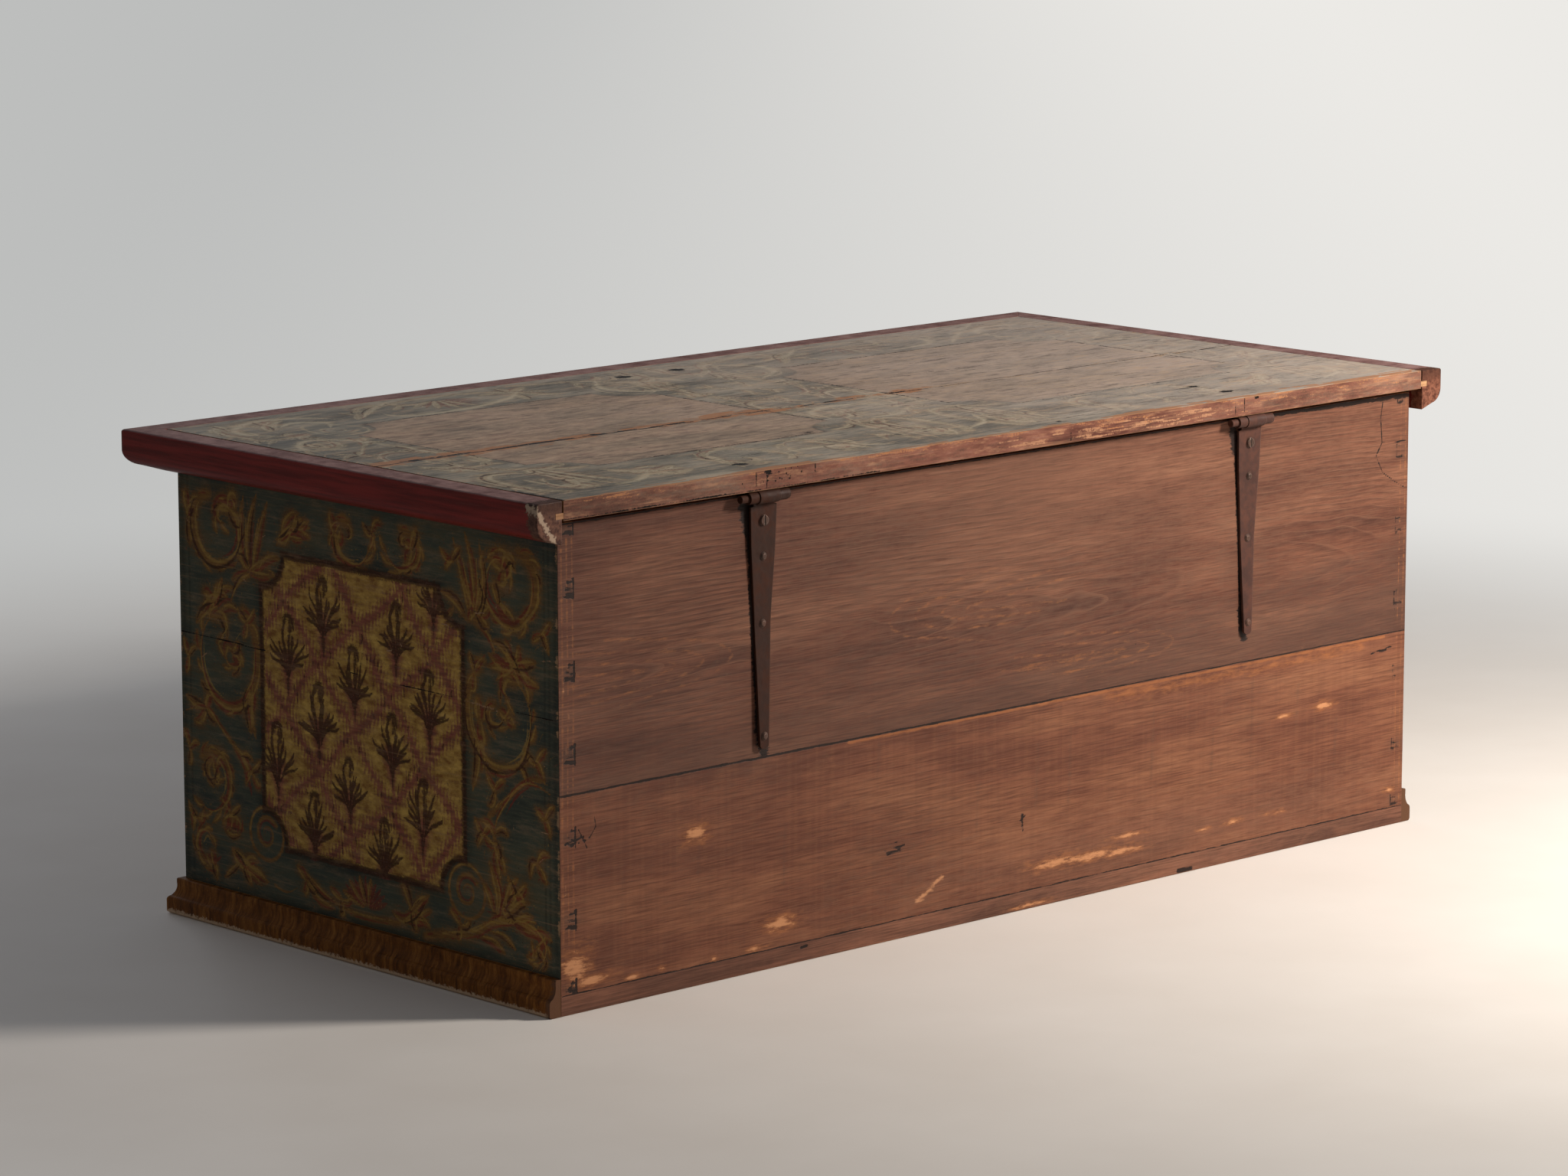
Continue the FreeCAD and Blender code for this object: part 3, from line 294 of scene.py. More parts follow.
@dataclass(frozen=True)
class DistemperPaint(Finish):
    """Glue and oil paint of a country painter on pine, rubbed, faded and scratched.

    The eye gets a mottled blue-green ground, translucent ochre and red brush strokes with
    streaks along them, a cream field hatched in purple, and bare wood where hands wore it.
    """

    ground: tuple[str, str, str] = ("#3b403a", "#4e5244", "#5f543c")
    field: tuple[str, str] = ("#845b2c", "#cba556")
    stroke: tuple[str, str] = ("#906731", "#704c27")
    light: tuple[str, str] = ("#ae8c47", "#917238")
    fade: float = 0.0
    rub: float = 0.0
    wood: tuple[str, str] = ("#8a6a50", "#a98766")
    flecks: float = 0.22
    along: Along = Along.X
    sheen: float = 0.1

    def build(self, add: Adder) -> Node:
        """Build the ground, each colour in the painter's order, then wear, grime, cracks and
        painted shade.

        Args:
            add: Adds a node to the material.

        Returns:
            The shader.
        """
        board = self.grain_space(add, self.along, (0.3, 0.2, 0.1))
        mottle, brush, patches, fleck, fibre = (
            add("TexNoise", add("Mapping", board, None, None, (run, over, over)), 1.0, *detail)
            for run, over, *detail in (
                (6, 16, 7.0, 0.62), (40, 330, 4.0), (55, 110, 5.0, 0.7), (26, 120, 6.0, 0.75),
                (9, 420, 5.0)))
        grit = add("TexNoise", board, 420.0, 4.0, 0.7)
        colour = add("ValToRGB", add("Math MULTIPLY_ADD", brush, 0.35, mottle),
                     stops=zip((0.52, 0.68, 0.86), self.ground))
        # The edge of a stroke breaks up at about the width of a bristle, 1 to 2 mm
        ragged = add("MapRange", add("Math ADD", brush, grit), 0.7, 1.3, -0.26, 0.26)
        rubbed = add("MapRange", mottle, 0.35, 0.65, -0.5 * self.rub, 0.1)
        for name, soft, tones, much in (
                ("shade", 0.4, ("#1f221e", "#302f27"), 0.6),
                ("under", 0.45, ("#6f5735", "#5a472c"), 0.75 - 0.35 * self.fade),
                ("field", 0.08, self.field, 1.0 - 0.35 * self.fade),
                ("lattice", 0.34, ("#96504a", "#6e3634"), 0.85),
                ("ochre", 0.3, self.stroke, 0.84 - 0.4 * self.fade),
                ("red", 0.25, ("#84372a", "#672c22"), 0.75 - 0.5 * self.fade),
                ("light", 0.3, self.light, 0.66 - 0.3 * self.fade),
                ("brown", 0.24, ("#35200f", "#4c2c1c"), 0.9),
                # Dust, and the painted sheen and light of the lid's far end
                ("dust_and_sheen", 0.5, ("#c6b8ae", "#ae9f96"), 0.66)):
            seen = add("Math ADD", add("Attribute", attribute_name=name).outputs["Fac"], ragged)
            if self.rub and name not in ("shade", "brown"):
                seen = add("Math ADD", seen, rubbed)
            seen = add("MapRange", seen, 0.5 - soft, 0.5 + soft, None, much, **SOFT)
            if self.fade and name == "field":
                kept = add("MapRange", mottle, 0.4, 0.58, 1 - self.fade)
                seen = add("Math MULTIPLY", seen, kept)
            blend = add("MapRange", patches if name == "field" else brush, 0.36, 0.64)
            colour = add("Mix", seen, colour, add("Mix", blend, *tones))
        # Fine wear and grime in flecks of a few millimetres
        for start, end, tone in ((0.52, 0.66, self.wood[1]), (0.48, 0.34, "#2f2a24")):
            share = add("MapRange", fleck, start, end, None, self.flecks)
            colour = add("Mix", share, colour, tone)
        thin = add("MapRange", fibre, 0.57, 0.74, None, 0.3 + 0.4 * self.fade)
        # The dark mark is cracks, seams and outlines, and painted shade at the keyhole and along
        # the foot of the lid's edge
        bare, tan, crack_and_shade = (
            add("MapRange", add("Math ADD", add("Attribute", attribute_name=name).outputs["Fac"],
                                ragged), start, end, None, much, **SOFT)
            for name, start, end, much in (("bare", 0.38, 0.6, None), ("tan", 0.4, 0.6, 0.85),
                                           ("dark", 0.42, 0.55, None)))
        for share, tone in ((add("Math MAXIMUM", thin, bare), add("Mix", fibre, *self.wood)),
                            (tan, "#a8734e"), (crack_and_shade, "#140d0a")):
            colour = add("Mix", share, colour, tone)
        height = add("Math MULTIPLY_ADD", grit, 0.4, add("Math SUBTRACT", brush, crack_and_shade))
        return add("BsdfPrincipled", {
            "Base Color": colour, "Roughness": add("MapRange", brush, 0.3, 0.7, 0.5, 0.7),
            "Specular IOR Level": self.sheen,
            "Normal": add("Bump", 0.4, 0.0004, None, height)})


@dataclass(frozen=True)
class OilPaintedMoulding(Finish):
    """Iron-oxide red oil paint on planed mouldings.

    The eye gets a deep, slightly glossy red on the moulded face, a chalky purple bloom on
    top, and arrises rubbed to orange wood.
    """

    along: Along = Along.Y
    paint: tuple[str, str] = ("#852c27", "#64211d")
    top: tuple[str, str] = ("#63423f", "#9a7974")
    chip: tuple[str, ...] = ()
    # 0.828 x - 0.562 z along the break, with the noise's share added
    break_line: float = 0.276

    def build(self, add: Adder) -> Node:
        """Build paint, bloom, worn arrises and the broken corner.

        Args:
            add: Adds a node to the material.

        Returns:
            The shader.
        """
        board = self.grain_space(add, self.along, (0.1, 0.4, 0.2))
        streak = add("TexNoise", add("Mapping", board, None, None, (7, 160, 160)), 1.0, 5.0, 0.65)
        grit, cloud = (add("TexNoise", board, *row) for row in ((300.0, 5.0, 0.7),
                                                                (38.0, 6.0, 0.75)))
        normal = add("NewGeometry").outputs["Normal"]
        facing = add("Math MULTIPLY_ADD", streak, 0.5,
                     add("SeparateXYZ", normal).outputs["Z"])
        upward = add("MapRange", facing, 0.75, 1.15, **SOFT)
        rounded = add("Bevel", 0.0022, samples=4)
        edge = add("Math SUBTRACT", 1.0, add("VectorMath DOT_PRODUCT", rounded, normal))
        arris = add("Math MULTIPLY_ADD", edge, 5.0, grit)
        colour = add("Mix", add("MapRange", streak, 0.4, 0.6), *self.paint)
        bloom = add("Mix", add("MapRange", cloud, 0.34, 0.66), *self.top)
        for share, tone in ((upward, bloom),
                            (add("MapRange", arris, 0.72, 1.05, None, 0.7, **SOFT), "#96695a"),
                            (add("MapRange", streak, 0.66, 0.8, None, 0.5), "#7d5c50")):
            colour = add("Mix", share, colour, tone)
        if self.chip:
            colour = self.broken_corner(add, colour)
        return add("BsdfPrincipled", {
            "Base Color": colour, "Specular IOR Level": 0.16,
            "Roughness": add("MapRange", upward, None, None, 0.42, 0.66),
            "Normal": add("Bump", 0.4, 0.0005, None, add("Math ADD", streak, grit), rounded)})

    def broken_corner(self, add: Adder, colour: Node) -> Node:
        """Break the paint off the back end, down to rough end grain with a pale rim.

        Args:
            add: Adds a node to the material.
            colour: Colour of the sound moulding.

        Returns:
            The colour with the break in it.
        """
        place = add("TexCoord").outputs["Object"]
        _, depth, height = add("SeparateXYZ", place).outputs
        lumps = add("TexNoise", place, 170.0, 4.0, 0.7)
        reach = add("MapRange", add("Math MULTIPLY_ADD", lumps, 0.03, depth), 0.3165, 0.3185,
                    **SOFT)
        end_grain = add("Mix", add("MapRange", lumps, 0.38, 0.6), *self.chip)
        # The upper third kept its grime
        grimy = add("MapRange", add("Math MULTIPLY_ADD", lumps, 0.02, height), 0.515, 0.525,
                    None, 0.7)
        end_grain = add("Mix", grimy, end_grain, "#3a231b")
        # The fresh break runs slantwise over the lower outer corner
        slant = add("Math MULTIPLY_ADD", lumps, 0.014,
                    add("VectorMath DOT_PRODUCT", place, (0.828, 0.0, -0.562)))
        off = add("Math ABSOLUTE", add("Math SUBTRACT", slant, self.break_line))
        fresh = add("MapRange", off, 0.0034, 0.0012, **SOFT)
        return add("Mix", add("Math MULTIPLY", fresh, reach),
                   add("Mix", reach, colour, end_grain), "#a9927d")


@dataclass(frozen=True)
class GrainedMoulding(Finish):
    """Base moulding combed in brown glaze over ochre, to pass for costly wood.

    The eye gets short upright strokes, dark over warm brown, and a scuffed pale lower arris.
    """

    along: Along = Along.Y

    def build(self, add: Adder) -> Node:
        """Build the combed glaze, its scuffed foot and the raw back end.

        Args:
            add: Adds a node to the material.

        Returns:
            The shader.
        """
        board = self.grain_space(add, self.along, (0.2, 0.1, 0.3))
        _, depth, height = add("SeparateXYZ", add("TexCoord").outputs["Object"]).outputs
        comb = add("TexNoise", add("Mapping", board, None, None, (120, 26, 26)), 1.0, 6.0, 0.78,
                   None, 0.5)
        grit = add("TexNoise", board, 260.0, 5.0, 0.7)
        colour = add("ValToRGB", comb,
                     stops=((0.3, "#33190c"), (0.5, "#724318"), (0.72, "#a56f32")))
        for shake, place, start, end, much, tone in (
                (-0.016, height, -0.0022, -0.0048, 0.9, "#c6a98b"),
                (0.02, depth, 0.305, 0.311, None, "#5f412e")):
            shaken = add("Math MULTIPLY_ADD", grit, shake, place)
            colour = add("Mix", add("MapRange", shaken, start, end, None, much, **SOFT), colour,
                         tone)
        return add("BsdfPrincipled", {
            "Base Color": colour, "Roughness": 0.55, "Specular IOR Level": 0.12,
            "Normal": add("Bump", 0.4, 0.0005, None, add("Math ADD", comb, grit))})


@dataclass(frozen=True)
class ForgedIron(Finish):
    """Wrought iron from a smith's hearth, scaled, hammered and later rusted brown.

    The eye gets a brown-black skin with hammer facets, rust bloom and a dull metallic gleam
    on arrises.
    """

    scale: str = "#412a24"
    rust: str = "#53342a"
    polish: str = "#7c6358"
    metallic: float = 0.12
    roughness: float = 0.6

    def build(self, add: Adder) -> Node:
        """Build fire scale, rust and rubbed arrises.

        Args:
            add: Adds a node to the material.

        Returns:
            The shader.
        """
        place = add("TexCoord").outputs["Object"]
        # Hammer marks are about 9 mm across
        hammer, bloom, pits = (add("TexNoise", place, *row) for row in (
            (110.0, 1.0), (70.0, 8.0, 0.7), (900.0, 3.0)))
        rounded = add("Bevel", 0.0012, samples=4)
        edge = add("VectorMath DOT_PRODUCT", rounded, add("NewGeometry").outputs["Normal"])
        colour = add("Mix", add("MapRange", bloom, 0.42, 0.62), self.scale, self.rust)
        colour = add("Mix", add("MapRange", edge, 0.97, 0.8, None, 0.6), colour, self.polish)
        height = add("Math MULTIPLY_ADD", pits, 0.12, hammer)
        return add("BsdfPrincipled", {
            "Base Color": colour, "Specular IOR Level": 0.2,
            "Metallic": add("MapRange", bloom, 0.4, 0.65, self.metallic, 0.05),
            "Roughness": add("MapRange", bloom, 0.35, 0.65, self.roughness - 0.1,
                             self.roughness + 0.2),
            "Normal": add("Bump", 0.5, 0.0012, None, height, rounded)})


@dataclass(frozen=True)
class Stroke:
    """One mark of a brush, blade or crack: what it lays, how wide, how it tapers, and where."""

    mark: str
    width: float
    taper: Taper
    points: tuple[float, ...]
    strength: float = 1.0
    smooth: bool = True

    def moved(self, x_from: list[float], x_to: list[float], y_from: list[float],
              y_to: list[float]) -> "Stroke":
        """Fit the stroke to another panel by stretching its border and middle apart.

        Args:
            x_from: Places across the drawing.
            x_to: Where those places go.
            y_from: Places up the drawing.
            y_to: Where those places go.

        Returns:
            The fitted stroke.
        """
        order = np.argsort(x_from)
        across = np.interp(self.points[0::2], np.array(x_from)[order], np.array(x_to)[order])
        up = np.interp(self.points[1::2], y_from, y_to)
        return replace(self, points=tuple(np.stack([across, up], 1).ravel()))

    def beside(self, mark: str, shift: float, width: float) -> "Stroke":
        """Return a thin stroke that runs along this one.

        Args:
            mark: What it lays.
            shift: How far to the left it runs, as a share of this stroke's width.
            width: Its width as a share of this one's.

        Returns:
            The new stroke.
        """
        path = self.path()
        run = np.gradient(path, axis=0)
        run /= np.maximum(np.linalg.norm(run, axis=1, keepdims=True), TINY)
        away = self.half_widths(len(path))[:, None] * 2 * shift
        moved = path + np.stack([-run[:, 1], run[:, 0]], 1) * away
        trim = max(1, len(path) // 9)
        return Stroke(mark, max(1.6, self.width * width), Taper.LEAF,
                      tuple(moved[trim:-trim].ravel()), self.strength, False)

    def path(self) -> np.ndarray:
        """Return the stroke's middle line, smoothed through its points.

        Returns:
            One row of two coordinates a place.
        """
        knots = np.array(self.points, float).reshape(-1, 2)
        if len(knots) < 3 or self.taper is Taper.RAGGED or not self.smooth:
            return knots
        padded = np.vstack([2 * knots[0] - knots[1], knots, 2 * knots[-1] - knots[-2]])
        places = []
        for a, b, c, d in zip(padded, padded[1:], padded[2:], padded[3:]):
            for t in np.linspace(0, 1, 6, endpoint=False):
                places.append(0.5 * (2 * b + (c - a) * t + (2 * a - 5 * b + 4 * c - d) * t * t
                                     + (3 * b - a - 3 * c + d) * t ** 3))
        return np.array([*places, knots[-1]])

    def half_widths(self, count: int) -> np.ndarray:
        """Return half the width at each place of the path.

        Args:
            count: Number of places.

        Returns:
            The half widths.
        """
        t = np.linspace(0, 1, count)
        shape = {
            Taper.EVEN: np.ones(count), Taper.RAGGED: np.ones(count),
            Taper.LEAF: np.maximum(np.sin(np.pi * t) ** 0.7, 0.12),
            Taper.COMMA: np.maximum(np.sin(np.pi * np.minimum(1, 0.25 + t)) ** 0.6, 0.15),
            Taper.TAIL: 1.0 - 0.85 * t}[self.taper]
        return shape * self.width / 2


@dataclass
class Skin:
    """A skin of paint or patina on a flat wooden face, as a fine grid that carries marks."""

    name: str
    face: Face
    level: float
    across: np.ndarray
    up: np.ndarray
    marks: dict[str, np.ndarray] = field(default_factory=dict)
    proud: float = 0.25

    def sheet(self, mark: str) -> np.ndarray:
        """Return the grid of one mark.

        Args:
            mark: Name of the mark.

        Returns:
            Its values over the face, all zero the first time.
        """
        if mark not in self.marks:
            self.marks[mark] = np.zeros((len(self.up), len(self.across)), np.float32)
        return self.marks[mark]

    def grids(self) -> tuple[np.ndarray, np.ndarray]:
        """Return the places across and up for the whole grid."""
        return np.meshgrid(self.across, self.up)

    def raise_to(self, mark: str, values: np.ndarray) -> None:
        """Lay values on a mark where they are stronger than what is there."""
        np.maximum(self.sheet(mark), values, out=self.sheet(mark))

    def brush(self, stroke: Stroke) -> None:
        """Lay one stroke on the grid.

        Args:
            stroke: The stroke, in the face's own millimetres.
        """
        path = stroke.path()
        half = stroke.half_widths(len(path))
        reach = half.max() * 2
        low, high = path.min(axis=0) - reach, path.max(axis=0) + reach
        i0, i1 = np.searchsorted(self.across, (low[0], high[0]))
        j0, j1 = np.searchsorted(self.up, (low[1], high[1]))
        if i1 <= i0 or j1 <= j0:
            return
        x, y = np.meshgrid(self.across[i0:i1], self.up[j0:j1])
        best = np.zeros(x.shape)
        for k, (start, step) in enumerate(zip(path, np.diff(path, axis=0))):
            t = ((x - start[0]) * step[0] + (y - start[1]) * step[1]) / max(step @ step, 1e-9)
            t = np.clip(t, 0, 1)
            away = np.hypot(x - start[0] - t * step[0], y - start[1] - t * step[1])
            wide = half[k] + (half[k + 1] - half[k]) * t
            laid = 1 - 0.5 * away / np.maximum(wide, 0.2)
            if stroke.width > 6 and stroke.taper is not Taper.RAGGED:
                # Bristles leave furrows about 3 mm apart along a wide stroke
                laid = laid - 0.13 * (0.5 - 0.5 * np.cos(away * 2.0))
            np.maximum(best, laid, out=best)
        window = self.sheet(stroke.mark)[j0:j1, i0:i1]
        np.maximum(window, best * stroke.strength, out=window)

    def score(self, mark: str, width: float, *points: float, strength: float = 1.0) -> None:
        """Lay one ragged line, such as a crack, a scuff or a stain.

        Args:
            mark: What it lays.
            width: Its width.
            *points: Its places across and up by turns.
            strength: How strongly it shows.
        """
        self.brush(Stroke(mark, width, Taper.RAGGED, points, strength))

    def spot(self, mark: str, x: float, y: float, wide: float, high: float,
             strength: float) -> None:
        """Lay a soft oval.

        Args:
            mark: What it lays.
            x: Its middle across.
            y: Its middle up.
            wide: Its width.
            high: Its height.
            strength: How strongly it shows.
        """
        xs, ys = self.grids()
        away = np.hypot((xs - x) / (wide / 2), (ys - y) / (high / 2))
        self.raise_to(mark, np.clip(1 - 0.5 * away, 0, 1) * strength)

    def place(self, x: np.ndarray, y: np.ndarray, out: float) -> np.ndarray:
        """Return points of the face in metres.

        Args:
            x: Places across, in millimetres.
            y: Places up, in millimetres.
            out: Height over the wood, in millimetres.

        Returns:
            One row of three coordinates a point.
        """
        level = np.full(x.shape, self.level + out)
        parts = {Face.BACK: (x, level, y), Face.FRONT: (x, -level, y),
                 Face.RIGHT: (level, x, y), Face.LEFT: (-level, x, y),
                 Face.TOP: (x, y, level)}[self.face]
        return np.stack(parts, -1).reshape(-1, 3) * MM

    def build(self, finishes: list[tuple[float, Finish]], body: Body, slot: Slot) -> None:
        """Make the skin's mesh.

        Args:
            finishes: Finish of the rows from each height up, lowest first.
            body: What it moves with.
            slot: Finish slot of the record; not used.
        """
        columns, rows = len(self.across), len(self.up)
        xs, ys = (grid.ravel() for grid in self.grids())
        number = np.arange(rows * columns).reshape(rows, columns)
        quads = np.stack([number[:-1, :-1], number[:-1, 1:], number[1:, 1:], number[1:, :-1]],
                         -1).reshape(-1, 4)
        rim = np.concatenate([number[0, :-1], number[:-1, -1], number[-1, :0:-1],
                              number[:0:-1, 0]])
        lowered = rows * columns + np.arange(len(rim))
        skirt = np.stack([rim, lowered, np.roll(lowered, -1), np.roll(rim, -1)], -1)
        points = np.vstack([self.place(xs, ys, self.proud), self.place(xs[rim], ys[rim], 0.0)])
        faces = np.vstack([quads, skirt])
        if self.face in (Face.BACK, Face.LEFT):
            faces = faces[:, ::-1]
        mesh = bpy.data.meshes.new(self.name)
        mesh.from_pydata(points.tolist(), [], faces.tolist())
        for mark, sheet in self.marks.items():
            values = np.concatenate([sheet.ravel(), sheet.ravel()[rim]]).astype(np.float32)
            mesh.attributes.new(mark, "FLOAT", "POINT").data.foreach_set("value", values)
        index = np.zeros(len(faces), np.int32)
        heights = np.repeat((self.up[:-1] + self.up[1:]) / 2, columns - 1)
        for k, (start, finish) in enumerate(finishes):
            mesh.materials.append(finish.material())
            index[:len(quads)][heights > start] = k
        mesh.polygons.foreach_set("material_index", index)
        mesh.update()
        piece = bpy.data.objects.new(self.name, mesh)
        bpy.context.scene.collection.objects.link(piece)
        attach(piece, body.value)
        LOG.info("%s: %d faces on the %s", self.name, len(faces), self.face.value)


COMMA, LEAF, TAIL, EVEN = Taper.COMMA, Taper.LEAF, Taper.TAIL, Taper.EVEN

# Strokes of the painted border: what each lays, its width and taper, and its points in
# millimetres across the right-hand end and up from the floor

# Upper left corner: a big C-scroll, an upright tuft and a leaf
UPPER_LEFT = (
    ("ochre", 11, COMMA, -252, 458, -268, 452, -277, 436, -276, 415, -265, 396, -247, 386, -226,
     388, -207, 400, -197, 420, -200, 440, -213, 451),
    ("ochre", 13, COMMA, -211, 452, -226, 454, -237, 446, -236, 434, -226, 430),
    ("red", 3.5, LEAF, -208, 440, -204, 420, -213, 402, -230, 394),
    ("light", 2.6, LEAF, -271, 444, -271, 415, -259, 397, -244, 391),
    ("light", 2.4, LEAF, -230, 447, -216, 447, -205, 436, -202, 420),
    ("ochre", 8, LEAF, -186, 378, -196, 400, -199, 430, -192, 464),
    ("ochre", 8, LEAF, -183, 380, -185, 410, -181, 440, -170, 468),
    ("ochre", 8, LEAF, -178, 380, -172, 405, -164, 432, -152, 462),
    ("ochre", 9, LEAF, -172, 381, -160, 396, -147, 403, -131, 404),
    ("light", 2.6, LEAF, -185, 386, -189, 410, -188, 444),
    ("light", 2.6, LEAF, -179, 386, -175, 412, -166, 446),
    ("red", 3.0, LEAF, -181, 384, -180, 412, -174, 440),
    ("ochre", 7, TAIL, -186, 381, -200, 374, -210, 362, -216, 348),
    ("ochre", 10, LEAF, -138, 418, -124, 432, -106, 439, -82, 443),
    ("ochre", 8, LEAF, -128, 428, -124, 442, -112, 453, -100, 456),
    ("ochre", 7, LEAF, -112, 436, -102, 446, -92, 451),
    ("ochre", 6, LEAF, -118, 430, -104, 428, -90, 431),
    ("light", 2.2, LEAF, -133, 423, -113, 436, -93, 441),
    ("red", 3.0, LEAF, -116, 436, -104, 440, -92, 444),
)
# Left side: a big C-scroll with a leafy head and an inner curl
LEFT_SIDE = (
    ("ochre", 10, COMMA, -196, 342, -181, 326, -172, 302, -175, 272, -190, 249, -208, 238, -230,
     237, -252, 248, -265, 270, -268, 296, -260, 318, -246, 330),
    ("ochre", 12, COMMA, -246, 330, -232, 331, -226, 318, -236, 308),
    ("ochre", 9, LEAF, -272, 318, -260, 338, -244, 350, -222, 350),
    ("ochre", 9, LEAF, -256, 326, -244, 346, -228, 360, -208, 364),
    ("ochre", 8, LEAF, -242, 336, -236, 356, -230, 372),
    ("ochre", 8, LEAF, -236, 334, -220, 342, -203, 340),
    ("ochre", 8, COMMA, -212, 302, -203, 292, -208, 281, -222, 282, -230, 296),
    ("red", 3.6, LEAF, -248, 240, -228, 230, -202, 232),
    ("red", 3.0, LEAF, -240, 338, -228, 348, -214, 352),
    ("light", 2.6, LEAF, -264, 300, -262, 274, -250, 254, -230, 243),
    ("light", 2.4, LEAF, -178, 302, -181, 272, -196, 252),
    ("light", 2.2, LEAF, -250, 338, -238, 352, -222, 359),
    ("ochre", 9, LEAF, -182, 274, -186, 250, -185, 230, -178, 208),
    ("ochre", 7, LEAF, -188, 262, -195, 246, -193, 230),
    ("ochre", 5, TAIL, -204, 187, -220, 199, -238, 213, -256, 227, -277, 227, -297, 221),
    ("ochre", 6, LEAF, -262, 226, -258, 238, -246, 246),
    ("red", 2.6, LEAF, -288, 226, -262, 231, -244, 222),
)
# Lower left: a small C-scroll, a striped bud and foot leaves
LOWER_LEFT = (
    ("ochre", 9, COMMA, -270, 176, -256, 184, -238, 181, -226, 168, -223, 150, -230, 133, -246,
     121, -262, 119, -276, 127),
    ("ochre", 9, COMMA, -252, 176, -262, 166, -257, 154, -244, 157),
    ("light", 2.4, LEAF, -250, 178, -236, 170, -230, 152, -238, 134),
    ("ochre", 8, LEAF, -220, 198, -206, 188, -196, 176, -190, 158),
    ("ochre", 6, LEAF, -206, 186, -194, 188, -182, 183),
    ("red", 4, LEAF, -200, 170, -190, 158, -186, 144),
    ("ochre", 13, LEAF, -238, 108, -226, 114, -214, 114, -202, 106),
    ("ochre", 6, LEAF, -236, 104, -222, 97, -206, 101),
    ("ochre", 8, COMMA, -250, 58, -268, 62, -280, 76, -276, 92, -262, 95, -256, 84),
    ("red", 4, LEAF, -262, 70, -250, 66, -240, 72),
    ("light", 2.4, LEAF, -272, 80, -264, 90, -256, 86),
    ("ochre", 9, LEAF, -222, 84, -206, 76, -188, 66, -160, 58),
    ("ochre", 7, LEAF, -206, 62, -190, 60, -172, 52),
    ("ochre", 6, LEAF, -236, 50, -222, 60, -204, 74),
    ("light", 2.2, LEAF, -214, 79, -194, 70, -172, 62),
    ("ochre", 4, TAIL, -150, 56, -130, 52, -112, 60),
)
# Lower right: a stem, a tuft of leaves and a running foot scroll
LOWER_RIGHT = (
    ("ochre", 6, TAIL, 278, 236, 258, 232, 238, 220, 222, 204, 208, 184, 203, 162),
    ("red", 3, LEAF, 262, 228, 240, 214, 222, 192),
    ("ochre", 8, LEAF, 206, 166, 196, 178, 182, 180),
    ("ochre", 8, LEAF, 210, 158, 206, 142, 214, 118),
    ("ochre", 7, LEAF, 204, 170, 216, 176, 226, 170),
    ("ochre", 10, LEAF, 206, 84, 210, 104, 204, 124, 196, 140),
    ("ochre", 9, LEAF, 210, 84, 222, 104, 230, 120, 240, 130),
    ("ochre", 9, LEAF, 212, 82, 230, 94, 244, 104, 258, 108),
    ("ochre", 8, LEAF, 204, 86, 196, 104, 186, 118),
    ("light", 2.6, LEAF, 208, 88, 212, 106, 206, 128),
    ("light", 2.4, LEAF, 214, 90, 226, 108, 236, 122),
    ("red", 3.4, LEAF, 210, 84, 216, 102, 220, 122),
    ("ochre", 8, COMMA, 96, 46, 124, 52, 150, 56, 178, 64, 200, 76, 232, 84, 262, 82, 280, 68,
     276, 52, 262, 48, 256, 58),
    ("red", 4, LEAF, 258, 78, 274, 68, 272, 54),
    ("light", 2.4, LEAF, 130, 56, 160, 62, 190, 76),
    ("ochre", 7, LEAF, 180, 60, 202, 58, 220, 48),
    ("ochre", 6, LEAF, 196, 68, 218, 66, 236, 56),
    ("red", 3, LEAF, 176, 58, 200, 54, 214, 47),
)
# Over and under the cartouche: two C-scrolls, and the leaves beside the shell
MIDDLE = (
    ("ochre", 8, COMMA, -20, 458, -36, 454, -44, 440, -38, 424, -22, 415, -4, 415, 8, 424, 14,
     438),
    ("ochre", 7, COMMA, -30, 456, -18, 450, -18, 441, -28, 440),
    ("light", 2.2, LEAF, -40, 438, -33, 424, -19, 418, -4, 420),
    ("ochre", 8, COMMA, 64, 460, 80, 456, 91, 444, 88, 430, 75, 421, 58, 419, 44, 427, 37, 441),
    ("ochre", 7, COMMA, 76, 458, 64, 452, 66, 444, 76, 446),
    ("light", 2.2, LEAF, 88, 442, 82, 430, 70, 424, 56, 424),
    ("red", 3, LEAF, -30, 420, -14, 412, 2, 418),
    ("ochre", 7, LEAF, -100, 80, -84, 68, -64, 58, -40, 53),
    ("ochre", 7, LEAF, -92, 62, -74, 52, -50, 48),
    ("red", 3, LEAF, -90, 74, -70, 60, -48, 54),
    ("ochre", 8, LEAF, 54, 52, 72, 60, 86, 72, 98, 86),
    ("ochre", 8, LEAF, 66, 54, 84, 58, 100, 60),
    ("ochre", 7, LEAF, 74, 62, 92, 68, 106, 74),
    ("red", 3.4, LEAF, 64, 56, 82, 66, 96, 80),
    ("light", 2.4, LEAF, 60, 54, 80, 62, 94, 70),
    ("ochre", 5, EVEN, -42, 53, -20, 49, 2, 48, 26, 49, 54, 52),
)
